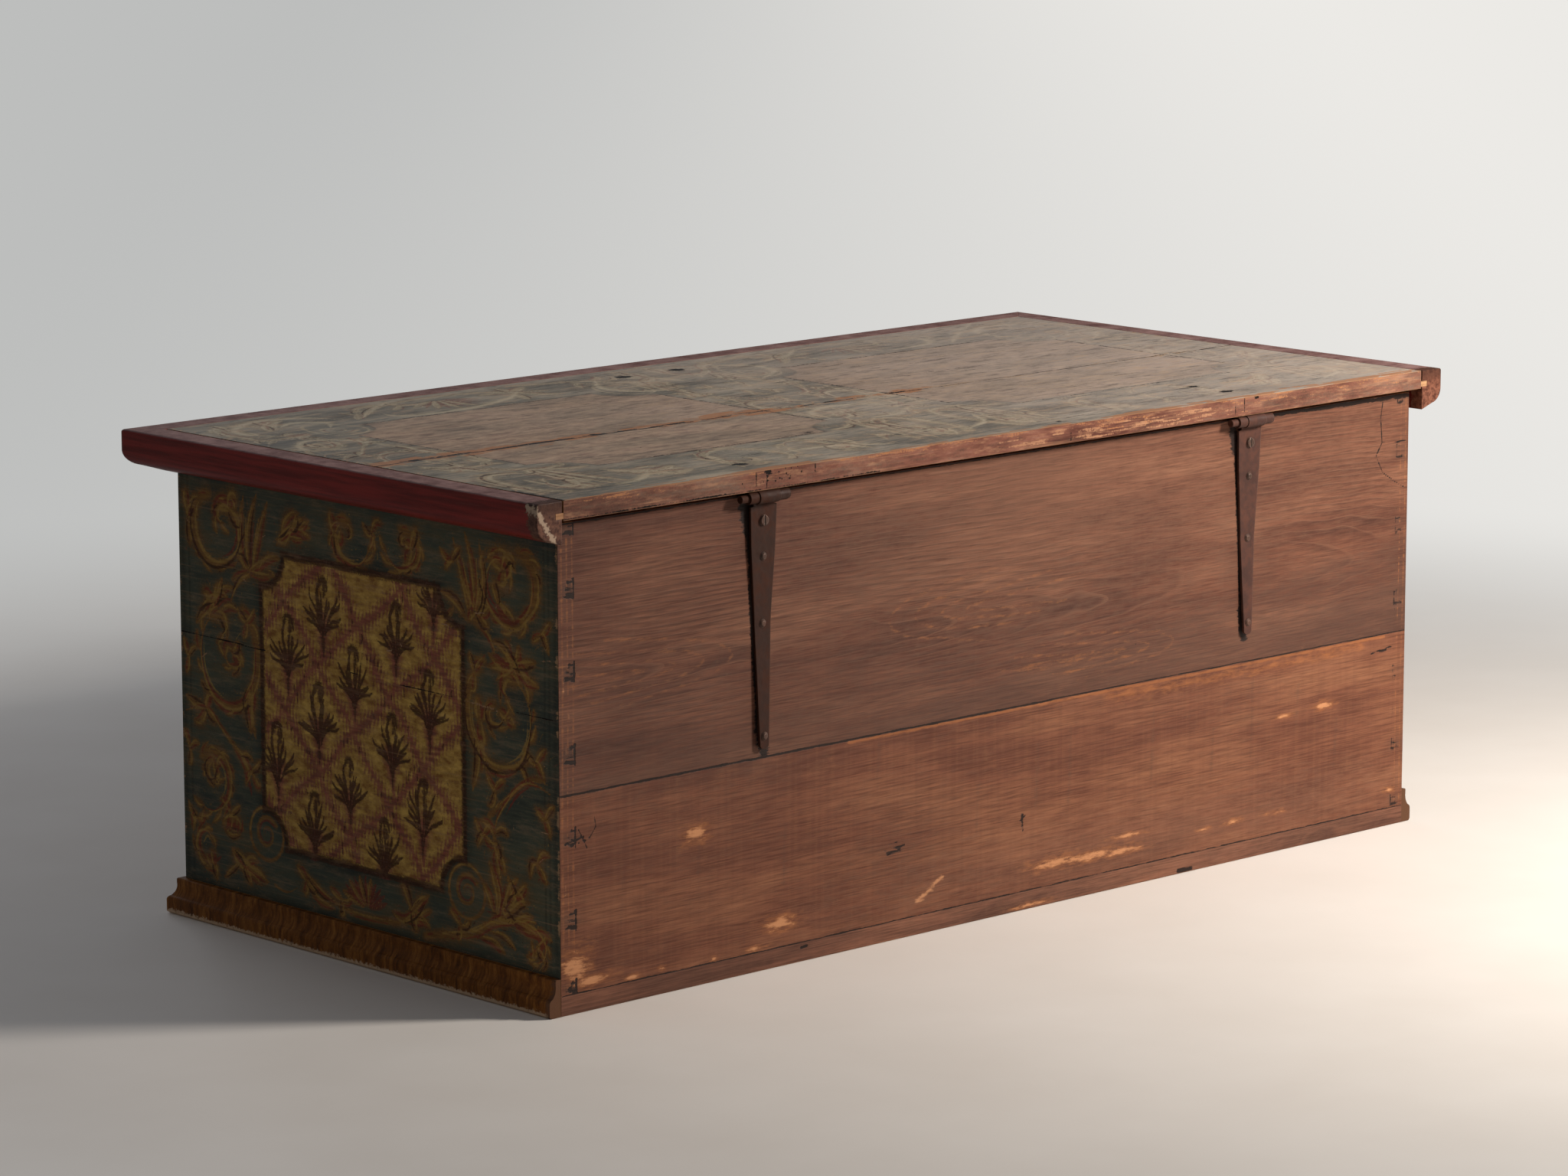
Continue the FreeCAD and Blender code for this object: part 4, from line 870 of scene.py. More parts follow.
# Fans of leaves: middle, width of the stem and of the leaves, and the tips
FANS = (
    (-184, 384, 9, 11, -214, 372, -204, 398, -150, 402, -146, 384),
    (-216, 446, 12, 16, -236, 448, -204, 458, -196, 430),
    (-286, 430, 9, 12, -290, 458, -284, 400, -276, 442),
    (-244, 340, 10, 13, -276, 318, -262, 352, -238, 366, -222, 352),
    (-214, 296, 8, 11, -228, 286, -204, 308, -202, 286),
    (-262, 230, 9, 12, -296, 238, -282, 212, -256, 246, -244, 216),
    (-184, 236, 9, 16, -184, 262, -186, 212),
    (-186, 172, 8, 9, -204, 188, -170, 186, -196, 156, -172, 160),
    (-244, 166, 8, 11, -254, 180, -232, 176, -250, 152),
    (-252, 60, 9, 11, -256, 76, -248, 46, -266, 70),
    (-200, 66, 10, 13, -222, 84, -178, 76, -162, 56, -190, 50),
    (-96, 70, 8, 10, -112, 84, -80, 60, -100, 56),
    (-114, 440, 10, 12, -138, 424, -84, 450, -82, 432, -104, 456),
    (-42, 442, 8, 13, -50, 464, -36, 422, -32, 448), (80, 442, 8, 13, 88, 464, 72, 422, 70, 448),
    (144, 440, 9, 9, 124, 450, 132, 428, 156, 454),
    (180, 392, 10, 12, 160, 424, 188, 420, 202, 400, 168, 380, 198, 378),
    (222, 438, 12, 16, 204, 446, 240, 448, 216, 424),
    (214, 404, 9, 12, 206, 424, 224, 392, 240, 386),
    (236, 344, 10, 13, 198, 352, 216, 330, 270, 352, 274, 328, 244, 366),
    (226, 288, 8, 12, 214, 298, 236, 282), (182, 284, 9, 16, 180, 306, 184, 262),
    (188, 166, 9, 10, 174, 182, 200, 178, 178, 152, 206, 156),
    (212, 146, 8, 12, 204, 166, 220, 130),
    (236, 112, 10, 12, 224, 130, 252, 126, 250, 102, 222, 98),
    (232, 84, 10, 12, 194, 78, 214, 98, 262, 94, 274, 74),
    (268, 64, 9, 10, 284, 80, 252, 52, 280, 50),
    (74, 68, 10, 11, 42, 62, 60, 92, 102, 88, 104, 54, 80, 46),
    (268, 250, 8, 9, 284, 268, 252, 262, 282, 232), (282, 196, 8, 9, 296, 212, 268, 206, 290, 178),
    (206, 214, 8, 9, 192, 232, 222, 226, 196, 196), (270, 148, 8, 9, 288, 160, 258, 132, 284, 130),
    (176, 330, 8, 8, 168, 350, 190, 346, 170, 312), (278, 380, 8, 9, 292, 396, 264, 372, 290, 362),
    (-290, 280, 8, 8, -298, 300, -276, 292, -294, 262),
    (-190, 330, 8, 9, -206, 344, -176, 346, -196, 312),
    (-290, 180, 8, 8, -298, 198, -274, 188, -292, 162),
    (-222, 120, 8, 9, -238, 134, -206, 132, -226, 102),
    (-282, 110, 8, 9, -296, 124, -268, 120, -288, 92), (-40, 60, 8, 9, -58, 70, -22, 66, -40, 46),
    (150, 66, 8, 9, 134, 80, 166, 74, 146, 50), (18, 450, 8, 8, 2, 460, 34, 462, 20, 432),
)
# The straight parts of a sprig, in millimetres from its middle, with their strength
STEM = (
    ("lattice", 27, TAIL, 1.0, 0, -6, 0, -24, 0, -48), ("brown", 12, TAIL, 0.8, 0, -12, 0, -40),
    ("brown", 4.4, LEAF, 1.0, -2, -12, -7, 8, -9, 24, -4, 37),
    ("brown", 9, LEAF, 1.0, -8, 26, -4, 38, 4, 38, 8, 27),
    ("brown", 4, LEAF, 1.0, 2, -12, 4, 4, 8, 22), ("brown", 8, LEAF, 0.9, 1, 36, 3, 26, 1, 19),
)
# Its leafy twigs, in degrees from upright
TWIGS = (-66, -50, -36, -24, -12, 2, 15, 28, 41, 56, 70)


def drawn(rows: Iterable[tuple]) -> list[Stroke]:
    """Return the strokes of a table."""
    return [Stroke(mark, width, taper, tuple(points)) for mark, width, taper, *points in rows]


@dataclass
class ScrollPainter:
    """The country painter: cartouches, sprigs and scrolls, drawn once for the right-hand end.

    Sizes are of that end, seen from outside: across is the chest's depth from the front,
    up is from the floor.
    """

    left: float = -164.0
    right: float = 157.0
    foot: float = 99.0
    head: float = 408.0
    notch: float = 37.0
    edge: tuple[float, float] = (-303.0, 303.0)
    rise: tuple[float, float] = (38.0, 478.0)
    # The two steps from one crossing of the lattice to the next
    mesh: tuple[tuple[float, float], ...] = ((53.0, -63.0), (-63.0, -51.0))
    rng: np.random.Generator = field(default_factory=lambda: np.random.default_rng(SEED))

    def lower(self) -> list[Stroke]:
        """Draw the lower border and what stands over and under the cartouche.

        Returns:
            The strokes.
        """
        rows = [*LOWER_LEFT]
        for k in range(5):
            x = -232 + 6.2 * k
            rows.append(("red", 3, LEAF, x, 101, x + 3, 108, x + 4, 118))
        rows += [*LOWER_RIGHT, *MIDDLE]
        for k in range(0, 20, 4):
            rows.append(("ochre", 2.6, LEAF, 10 + k, 457, 18 + k, 430))
            rows.append(("light", 2.0, LEAF, 30 - k, 455, 22 - k, 432))
        strokes = drawn(rows)
        # The shell at the foot
        for k, angle in enumerate(np.linspace(155, 22, 11)):
            c, s = math.cos(math.radians(angle)), math.sin(math.radians(angle))
            strokes.append(Stroke("red" if k % 2 or k > 6 else "ochre", 6.4, LEAF, (
                2 + 6 * c, 56 + 4 * s, 0 + 24 * c, 56 + 20 * s, -2 + 40 * c, 56 + 35 * s)))
            strokes.append(Stroke("light", 1.6, LEAF, (
                3 + 8 * c, 56 + 6 * s, 1 + 36 * c, 56 + 31 * s), 0.9))
        return strokes

    def rosette(self, x: float, y: float) -> list[Stroke]:
        """Draw the small round scroll that sits in a lower notch of the cartouche.

        Args:
            x: Its middle across.
            y: Its middle up.

        Returns:
            The strokes.
        """
        ring, curl, inner = [], [], []
        for k in range(15):
            turn = 2 * math.pi * k / 14
            ring += [x + 28 * math.cos(turn), y + 28 * math.sin(turn)]
        for k in range(13):
            turn = 0.6 + 2 * math.pi * 1.5 * k / 12
            far = 19 - 1.25 * k
            curl += [x + far * math.cos(turn), y + far * math.sin(turn)]
            inner += [x + (far - 3) * math.cos(turn), y + (far - 3) * math.sin(turn)]
        return drawn((("ochre", 4.2, EVEN, *ring), ("light", 2.0, EVEN, *ring[4:16]),
                      ("ochre", 6.0, TAIL, *curl), ("red", 2.6, TAIL, *inner)))

    def border(self) -> list[Stroke]:
        """Draw the whole border of scrolls, the right side mirrored from the left.

        Returns:
            The strokes.
        """
        strokes = drawn(UPPER_LEFT)
        strokes.append(Stroke("ochre", 5, EVEN, (-152, 391, -142, 383, -140, 372), 0.8))
        strokes += drawn(LEFT_SIDE)
        centre = self.left + self.right
        for stroke in strokes[:]:
            if stroke.points[0] > -140:
                continue
            points = [centre - v if k % 2 == 0 else v + self.rng.normal(0, 1.2)
                      for k, v in enumerate(stroke.points)]
            strokes.append(replace(stroke, points=tuple(points)))
        strokes = self.leafed(strokes + self.lower() + self.clusters())
        return (strokes + self.rosette(self.left + 2, self.foot + 10)
                + self.rosette(self.right + 4, self.foot + 4))

    def clusters(self) -> list[Stroke]:
        """Draw the fat leaves and curl ends that fill the border between the scrolls.

        Returns:
            The strokes.
        """
        strokes = []
        for x, y, base, wide, *tips in FANS:
            for tip_x, tip_y in zip(tips[::2], tips[1::2]):
                side = self.rng.normal(0, 4)
                strokes.append(Stroke("ochre", wide * 0.78, LEAF, (
                    x - (tip_x - x) * 0.15, y - (tip_y - y) * 0.15,
                    (x + tip_x) / 2 - side * 0.3, (y + tip_y) / 2 + side, tip_x, tip_y)))
            strokes.append(Stroke("brown", base * 0.3, LEAF, (x - 4, y - 2, x + 4, y + 3), 0.8))
        return strokes

    def leafed(self, strokes: list[Stroke]) -> list[Stroke]:
        """Swell the ochre strokes, light and shade them, and set leaflets along the scrolls.

        Args:
            strokes: Bare scrolls.

        Returns:
            The full scrolls.
        """
        uniform = self.rng.uniform
        under, full, accents = [], [], []
        for number, stroke in enumerate(strokes):
            if stroke.mark != "ochre" or stroke.width < 5:
                full.append(stroke)
                continue
            swell = replace(stroke, width=stroke.width * 1.6)
            under.append(replace(stroke, mark="under", width=stroke.width * 2.5, strength=0.9))
            full.append(swell)
            accents += [swell.beside("light", 0.2, 0.2),
                        swell.beside("red" if number % 3 else "brown", -0.28, 0.22)]
            path = swell.path()
            runs = np.diff(path, axis=0)
            runs /= np.maximum(np.linalg.norm(runs, axis=1, keepdims=True), TINY)
            for k in self.rng.integers(0, len(path) - 1, max(4, len(path) // 2)):
                away = np.array((-runs[k][1], runs[k][0])) * self.rng.normal(0, swell.width * 0.6)
                start = path[k] + away
                tip = start + runs[k] * uniform(5, 13) + away * 0.3
                mark = self.rng.choice(("ochre", "light", "red", "brown"))
                accents.append(Stroke(str(mark), uniform(2.0, 4.4), LEAF, (*start, *tip), 0.85))
            if stroke.taper is not COMMA or stroke.width < 8:
                continue
            centre = path.mean(axis=0)
            for k in np.linspace(1, len(path) - 3, max(4, len(path) // 5)).astype(int):
                out = path[k] - centre
                out = out / max(np.linalg.norm(out), TINY)
                long, lean = uniform(12, 22), uniform(0.15, 0.5)
                tip = path[k] + (runs[k] * 0.95 + out * lean) * long
                bend = path[k] + (runs[k] * 0.5 + out * (lean + 0.25)) * long * 0.5
                lobe = Stroke("ochre", uniform(7, 11), LEAF,
                              (*(path[k] - runs[k] * 3), *bend, *tip))
                under.append(replace(lobe, mark="under", width=15, strength=0.8))
                full.append(lobe)
                accents.append(lobe.beside(("light", "red", "light", "brown")[k % 4], 0.1, 0.25))
        return under + full + accents

    def twig(self, angle: int) -> tuple:
        """Draw one leafy twig of a sprig.

        Args:
            angle: How far it leans from upright, in degrees.

        Returns:
            Its row, like those of the stem.
        """
        lean = math.radians(angle + self.rng.normal(0, 3))
        long = (53 - 0.28 * abs(angle)) * self.rng.uniform(0.76, 1.1)
        foot = -26 + 0.16 * abs(angle)
        across, up = math.sin(lean) * long, math.cos(lean) * long
        return ("brown", self.rng.uniform(3.2, 4.6), LEAF, 1.0, 0.06 * angle, foot,
                across * 0.42, foot + up * 0.58, across * 0.82, foot + up * 0.9,
                across, foot + up * 1.12)

    def sprig(self, x: float, y: float, size: float) -> list[Stroke]:
        """Draw one dark sprig: a stem with a bud and pairs of leafy twigs.

        Args:
            x: Middle of the sprig.
            y: Middle of the sprig.
            size: Share of the full size, about 64 mm high.

        Returns:
            Its strokes.
        """
        strokes = []
        # Each twig is drawn in its turn, so that the random numbers keep their order
        for mark, width, taper, strength, *points in chain(STEM, map(self.twig, TWIGS)):
            middle = np.resize((x, y), len(points))
            placed = middle + size * np.array(points) + self.rng.normal(0, 0.9, len(points))
            strokes.append(Stroke(mark, width * size, taper, tuple(placed), strength))
        return strokes

    def cartouche(self, skin: Skin, left: float, right: float, foot: float,
                  head: float, wear: float) -> None:
        """Paint one cartouche: cream field, purple lattice, sprigs and a dark outline.

        Args:
            skin: Skin to paint on.
            left: Left side of the cartouche.
            right: Right side.
            foot: Lower side.
            head: Upper side.
            wear: How much of the drawing has gone, from 0 to 1.
        """
        x, y = skin.grids()
        uniform, normal = self.rng.uniform, self.rng.normal
        away = np.maximum.reduce([left - x, x - right, foot - y, y - head])
        for corner_x in (left, right):
            for corner_y in (foot, head):
                away = np.maximum(away, self.notch - np.hypot(x - corner_x, y - corner_y))
        skin.raise_to("field", np.clip(0.5 - away / 6, 0, 1))
        skin.raise_to("brown", np.clip(1 - 0.5 * np.abs(away - 1) / 3.9, 0, 1) * (1 - 0.7 * wear))
        skin.raise_to("shade", np.clip(1 - 0.5 * np.abs(away - 4) / 8, 0, 1) * 0.8 * (1 - wear))
        # The lattice runs askew, because it was drawn freehand
        a, b = (np.array(step) for step in self.mesh)
        origin = np.array(((left + right) / 2 - 8, (foot + head) / 2 + 39))
        bent_x = x + 4 * np.sin(y / 37 + x / 90) + 2 * np.sin(y / 11) - origin[0]
        bent_y = y + 4 * np.sin(x / 41) + 2 * np.sin(x / 13) - origin[1]
        det = a[0] * b[1] - a[1] * b[0]
        # The painter hatched it upright, about every 5.5 mm
        hatch = 0.64 + 0.4 * np.sin(x * 1.15 + 1.4 * np.sin(y / 9) + 0.8 * np.sin(x / 7 + y / 5))
        lattice = np.zeros(x.shape)
        for along in ((bent_x * b[1] - bent_y * b[0]) / det,
                      (bent_y * a[0] - bent_x * a[1]) / det):
            near = np.abs((along % 1.0) - 0.5) * 62
            lattice = np.maximum(lattice, np.clip(1 - 0.5 * near / 7.5, 0, 1) * hatch)
            lattice = np.maximum(lattice, np.clip(1 - 0.5 * near / 2.6, 0, 1) * 0.85)
        lattice = np.where(away < -3, lattice, 0) * (1 - wear)
        skin.raise_to("lattice", lattice)
        # Upright hatching, densest along the lattice
        count = int((right - left) * (head - foot) / 90)
        for px, py in uniform((left + 4, foot + 4), (right - 4, head - 4), (count, 2)):
            here = float(lattice[np.searchsorted(skin.up, py), np.searchsorted(skin.across, px)])
            if here > 0.3 or self.rng.random() < 0.05 * (1 - wear):
                long = uniform(6, 15)
                kind = "lattice" if self.rng.random() < 0.6 else "brown"
                skin.brush(Stroke(kind, uniform(1.3, 2.4), LEAF,
                                  (px, py - long / 2, px + normal(0, 1.0), py,
                                   px + normal(0, 1.5), py + long / 2),
                                  (0.55 + 0.4 * here) * (1 - wear)))
        reach = int(max(right - left, head - foot) / 60) + 2
        for i in range(-reach, reach + 1):
            for j in range(-reach, reach + 1):
                px, py = origin + i * a + j * b + normal(0, 2.5, 2)
                if left + 2 < px < right - 2 and foot + 8 < py < head - 12:
                    for stroke in self.sprig(px, py - 2, uniform(0.92, 1.08)):
                        skin.brush(replace(stroke, strength=stroke.strength * (1 - wear)))
        # Nothing of the sprigs shows outside the outline
        box = (x > left - 40) & (x < right + 40) & (y > foot - 50) & (y < head + 40)
        for mark in ("brown", "lattice"):
            skin.sheet(mark)[box & (away > 6)] = 0

    def paint_panel(self, skin: Skin, edges: tuple[float, float, float, float],
                    cartouche: tuple[float, float, float, float], wear: float,
                    mirrored: bool = False) -> None:
        """Paint one framed panel: the cartouche and its border of scrolls.

        Args:
            skin: Skin to paint on.
            edges: Left, right, foot and head of the panel.
            cartouche: The same of the cartouche in it.
            wear: How much of the drawing has gone, from 0 to 1.
            mirrored: Whether the border is drawn the other way round.
        """
        self.cartouche(skin, *cartouche, wear)
        x_to = [edges[0], *cartouche[:2], edges[1]]
        fit = ([self.edge[0], self.left, self.right, self.edge[1]],
               x_to[::-1] if mirrored else x_to,
               [self.rise[0], self.foot, self.head, self.rise[1]],
               [edges[2], *cartouche[2:], edges[3]])
        for stroke in self.border():
            fitted = stroke.moved(*fit)
            skin.brush(replace(fitted, strength=fitted.strength * (1 - 0.1 * wear)))


def lines(*stretches: Place) -> np.ndarray:
    """Return grid lines, close together where the drawing is fine.

    Args:
        *stretches: Start, end and spacing in millimetres, one after the other.

    Returns:
        The places of all the lines.
    """
    parts = [np.linspace(start, end, max(2, round((end - start) / step) + 1))
             for start, end, step in stretches]
    return np.unique(np.round(np.concatenate(parts), 4))


def pine(name: str, along: Along, tones: str, ring_mm: float, pith: Place,
         *rest: float) -> AgedPine:
    """Return a pine finish.

    Args:
        name: Name of the material.
        along: Direction of the grain.
        tones: Pale, brown and deep wood and the latewood line, with blanks between.
        ring_mm: Width of a year's growth.
        pith: Where the board lies in the tree, in metres.
        *rest: Tilt of the heart, strength of the rings, and what follows them.

    Returns:
        The finish.
    """
    return AgedPine(name, along, *tones.split(), ring_mm, pith, *rest)


BIRCH = pine("birch_dowels", Along.Z, "#c9a884 #b08a63 #8e6947 #6f4c30", 2.5, (0.1, 0.1, 0.1),
             2.0, 0.3)

# Dark seams, cracks and nail holes of the back, then the painted shadows beside the two strap
# hinges and under the lid's edge: width, strength and points
BACK_MARKS = (
    (1.5, 1, -634, 222.9, -420, 222.5, -200, 223.1, 120, 222.8, 634, 222.6),
    (2.2, 1, -60, 222.6, 260, 222.4, 634, 222.4),
    (1.3, 1, -634, 20.2, -100, 20.4, 300, 20.1, 634, 20.3),
    (1.0, 1, 612, 172, 596, 176, 588, 186, 590, 197), (2.6, 0.9, 628, 174, 604, 178),
    (1.6, 1, 611, 186, 604, 174, 600, 166), (1.4, 1, -590, 488, -587, 470, -590, 442),
    (1.3, 1, -590, 442, -580, 428, -592, 408, -612, 396, -630, 387),
    (1.2, 1, -592, 442, -612, 441, -632, 440), (1.6, 1, -612, 207, -596, 205, -578, 203),
    (2.4, 0.9, -603, 204, -592, 204), (2.6, 1, -17, 104, -16, 90), (1.4, 1, -14, 106, -17, 86),
    (1.2, 1, -22, 103, -10, 97), (4.5, 0.75, 166, 96, 184, 93), (2.0, 0.8, 160, 99, 190, 97),
    (1.6, 0.8, 170, 104, 182, 103), (5, 1, -282, 2, -262, 3.5), (3, 1, 300, 15, 308, 14),
    (0.9, 0.47, -300, 270, -240, 276, -190, 266, -150, 272), (0.9, 0.5, -246, 408, -244, 392),
    # Painted shadows beside the two strap hinges, then painted shadow under the lid's edge
    (15, 1, 387, 496, 385, 480, 381, 462),
    (8, 1, 383, 474, 378, 430, 376, 380, 373, 330, 369, 290, 367, 256),
    (12, 1, 367, 262, 365, 240, 360, 229), (12, 1, -340, 496, -343, 478, -346, 462),
    (5.5, 1, -344, 480, -349, 430, -352, 380, -355, 330, -358, 276),
    (9, 1, -357, 282, -360, 258, -364, 250), (2.6, 1, 634, 494.4, 200, 494.6, -380, 494.4),
    (5, 1, -380, 494, -500, 492.5, -634, 492))

# Fresh scars of the back: middle, width and height
SCARS = (
    (453, 157, 30, 17), (462, 160, 12, 10), (339, 45, 42, 14), (-500, 155, 30, 8),
    (-428, 152, 22, 4), (615, 46, 40, 30), (598, 30, 50, 10), (-120, 42, 120, 9),
    (-70, 44, 70, 11), (-170, 40, 60, 7), (-180, 56, 50, 5), (500, 26, 14, 4), (430, 24, 9, 4),
    (540, 24, 18, 5), (372, 24, 22, 5), (-420, 44, 30, 4), (-350, 45, 26, 5), (-300, 43, 20, 4),
    (-30, 4, 46, 5), (-612, 41, 18, 5))

# Darker patches of the back: middle, width, height and strength
DARK_PATCHES = (
    (380, 235, 80, 60, 0.62), (520, 245, 220, 70, 0.55), (240, 400, 120, 160, 0.4),
    (-20, 300, 300, 90, 0.5), (220, 385, 190, 100, 0.5), (230, 290, 190, 60, 0.55),
    (510, 300, 170, 70, 0.5), (-330, 260, 160, 80, 0.5), (-360, 290, 60, 150, 0.55),
    (170, 90, 130, 80, 0.45), (540, 330, 300, 260, 0.4))


@dataclass
class Carcass:
    """The dovetailed box: six pairs of pine boards on three bottom boards, with base moulding."""

    half_length: float = 635.0
    half_depth: float = 303.0
    back_seam: float = 222.9
    end_seam: float = 300.1
    front_seam: float = 231.0
    foot: float = 20.0
    pin_first: float = 96.0
    pin_pitch: float = 83.25
    pin_count: int = 5
    shoulder: float = 615.0
    # The dark bands at the corners end here, just under the lid
    bands_top: float = 499.0
    rng: np.random.Generator = field(default_factory=lambda: np.random.default_rng(SEED + 1))

    upper_pine: AgedPine = pine("aged_pine_upper_back", Along.X,
                                "#885c45 #6a402e #4a281c #2d1610", 5.6, (0.1, -0.362, -0.34),
                                4.6, 0.42, 0.42, 0.22)
    lower_pine: AgedPine = pine("aged_pine_lower_back", Along.X,
                                "#8d5d41 #734530 #583122 #3b1d13", 5.0, (0.4, -0.375, -0.07),
                                2.4, 0.12, 0.1, 0.3, 26.0, 0.13)
    foot_pine: AgedPine = pine("aged_pine_foot", Along.X, "#94624a #714938 #4f3226 #311b14",
                               6.0, (0.3, 0.1, 0.06), 4.0, 0.3, 0.2, 0.4)
    inner_pine: AgedPine = pine("pine_inside_long", Along.X, "#c69c72 #ad7f57 #8c6240 #6e4527",
                                5.0, (0.2, 0.1, -0.2), 3.0, 0.5)
    end_pine: AgedPine = pine("pine_inside_end", Along.Y, "#c69c72 #ab7c55 #8a603f #6b4326",
                              5.4, (0.2, 0.3, -0.25), 3.0, 0.5)
    bottom_pine: AgedPine = pine("pine_bottom", Along.X, "#a5795a #8a5f45 #6a4734 #4c2d1e", 6.0,
                                 (0.3, 0.1, 0.06), 4.0, 0.5)
    till_pine: AgedPine = pine("pine_till", Along.Y, "#c8a179 #b0835b #936a47 #704a2c", 3.6,
                               (0.1, 0.2, 0.1), 2.0, 0.5)
    end_paint: DistemperPaint = DistemperPaint("distemper_ends", along=Along.Y)
    front_paint: DistemperPaint = DistemperPaint("distemper_front", fade=0.2)
    base_end: GrainedMoulding = GrainedMoulding("grained_glaze_ends", Along.Y)
    base_front: GrainedMoulding = GrainedMoulding("grained_glaze_front", Along.X)

    def dovetails(self, skin: Skin) -> None:
        """Draw the shoulders, gaps and end grain of the pins on the back.

        Args:
            skin: Skin of the back.
        """
        heights = [self.pin_first + self.pin_pitch * k for k in range(self.pin_count)]
        for side, bold in ((-1, 0.62), (1, 1.0)):
            root, tip = self.shoulder * side, (self.shoulder + 14) * side
            skin.score("dark", 0.8, root + side, 22, root + side, 494, strength=0.5)
            for middle in heights + [28.0, 488.0]:
                high = 10.0 if 40 < middle < 480 else 7.0
                low, top = middle - high, middle + high
                a, b, c, d = self.rng.uniform(0.7, 1.5, 4)
                for width, much, *points in (
                        (2.0 * a, 1.0, 0, low, 0.3, middle, 0, top),
                        (1.3 * b, 0.9, 0, low, 8, low + 2, 14, low + 3),
                        (1.1 * c, 0.8, 0, top, 7 * d, top - 2),
                        (4.2 * d, 0.95, 2, low + 3, 4 + 5 * a, low + 4),
                        (high * 0.7, 0.62, 3, middle - 2, 9, middle - 1),
                        (3.0, 0.8, 1, top - 3, 4 + 3 * b, top - 4)):
                    points[::2] = [root + side * v for v in points[::2]]
                    skin.score("dark", width * (0.4 + 0.6 * bold), *points, strength=much * bold)
                skin.score("grey", 2 * high - 5, root + side * 3, middle, tip, middle,
                           strength=0.9 * bold)

    def back_skin(self) -> None:
        """Lay the back's patina: cracks, scuffs, knots, pale bruises, and painted shadows of
        straps and lid.
        """
        skin = Skin("back_patina", Face.BACK, self.half_depth,
                    lines((-635, -585, 0.9), (-585, 585, 2.3), (585, 635, 0.8)),
                    lines((0.6, 24, 1.0), (24, 216, 1.9), (216, 230, 1.0), (230, 494.6, 1.8)))
        self.dovetails(skin)
        skin.score("tan", 3.6, -600, 220, -300, 219.6, -60, 220.5, 240, 220, strength=0.85)
        skin.score("tan", 16, -560, 214, -330, 211, -150, 214, strength=0.55)
        for width, much, *points in BACK_MARKS:
            skin.score("dark", width, *points, strength=much)
        for x, y, wide, high in SCARS:
            skin.spot("pale", x, y, wide * 0.8, high * 0.75, 0.8)
            skin.spot("tan", x, y, wide * 1.3, high * 1.5, 0.75)
        for x, y, tall in ((622, 300, 12), (629, 330, 16), (626, 268, 10), (628, 130, 14)):
            skin.spot("pale", x, y, 2.4, tall, 0.55)
        for x, wide in ((631, 3), (624, 2), (617, 2.4), (-630, 2), (-622, 1.6)):
            skin.score("tan", wide, x, 24, x + 1, 180, x - 1, 330, x, 492, strength=0.5)
        skin.score("pale", 7, 104, 56, 118, 48, 140, 36, strength=0.66)
        for x, y, wide, high, much in DARK_PATCHES:
            skin.spot("grey", x, y, wide * 1.6, high * 1.6, much)
        # Dirt lies heaviest on the upper board just over the seam
        x, y = skin.grids()
        skin.raise_to("grey", np.where(y > self.back_seam, np.clip(
            (335 - y) / 120 - x / 2600 + 0.12 * np.sin(x / 70 + y / 9), 0, 0.85), 0))
        for spot in ((-20, 460, 460, 220, 1.0), (-250, 400, 400, 160, 0.6),
                     (-520, 440, 300, 140, 0.6), (-250, 46, 700, 70, 0.9)):
            skin.spot("bloom", *spot)
        # The flat-sawn board shows its rings as nested arches, pale and dark by turns
        for apex, z, way, spread in ((404, 334, 1, 30), (182, 338, -1, 34), (-250, 262, 1, 22)):
            for k in range(7):
                tip, arm = apex + way * 19 * k, spread - 4.2 * k
                sway = self.rng.normal(0, 2)
                run = (170, 80, 26, 4, 0, 5, 28, 80, 150)
                rise = (arm + 9 + sway, arm * 0.9, arm * 0.6, arm * 0.24, 0, -arm * 0.24,
                        -arm * 0.55, -arm * 0.8, sway - arm)
                points = np.stack([tip + way * np.array(run), z + np.array(rise)], 1).ravel()
                skin.score("grey" if k % 2 else "tan", 4, *points,
                           strength=0.55 if k % 2 else 0.4)
        for x in (-520, -455, -380, -316, -220, -90, -40, 50, 150, 196, 330, 448, 552):
            top = self.rng.uniform(120, 215)
            skin.score("grey", 5, x, top, x + 3, top - self.rng.uniform(40, 100), strength=0.5)
        skin.build([(-1, self.foot_pine), (self.foot, self.lower_pine),
                    (self.back_seam, self.upper_pine)], Body.CHEST, Slot.PINE)

    def corner_bands(self, skin: Skin, bands: Iterable[tuple[float, float]],
                     reach: float) -> None:
        """Paint the dark bands at the corners and along the foot of a panelled side.

        Args:
            skin: Skin of the side.
            bands: Place across and width of each upright band.
            reach: How far the band along the foot runs either way.
        """
        for x, wide in bands:
            skin.score("shade", wide, x, 40, x - 1, 200, x + 1, 360, x, self.bands_top,
                       strength=0.75)
        skin.score("shade", 16, -reach, 40, reach, 40, strength=0.7)

    def scratches(self, skin: Skin, count: int, reach: float, foot: float, head: float,
                  width: float, run: float, rise: float, strength: float) -> None:
        """Scratch a painted side down to the wood in short strokes.

        Args:
            skin: Skin of the side.
            count: How many scratches.
            reach: How far from the middle they lie.
            foot: How low they lie.
            head: How high they lie.
            width: Their width.
            run: Spread of their length.
            rise: Spread of their slope.
            strength: How strongly they show.
        """
        for _ in range(count):
            x, y = self.rng.uniform(-reach, reach), self.rng.uniform(foot, head)
            skin.score("bare", width, x, y, x + self.rng.normal(0, run),
                       y + self.rng.normal(0, rise), strength=strength)

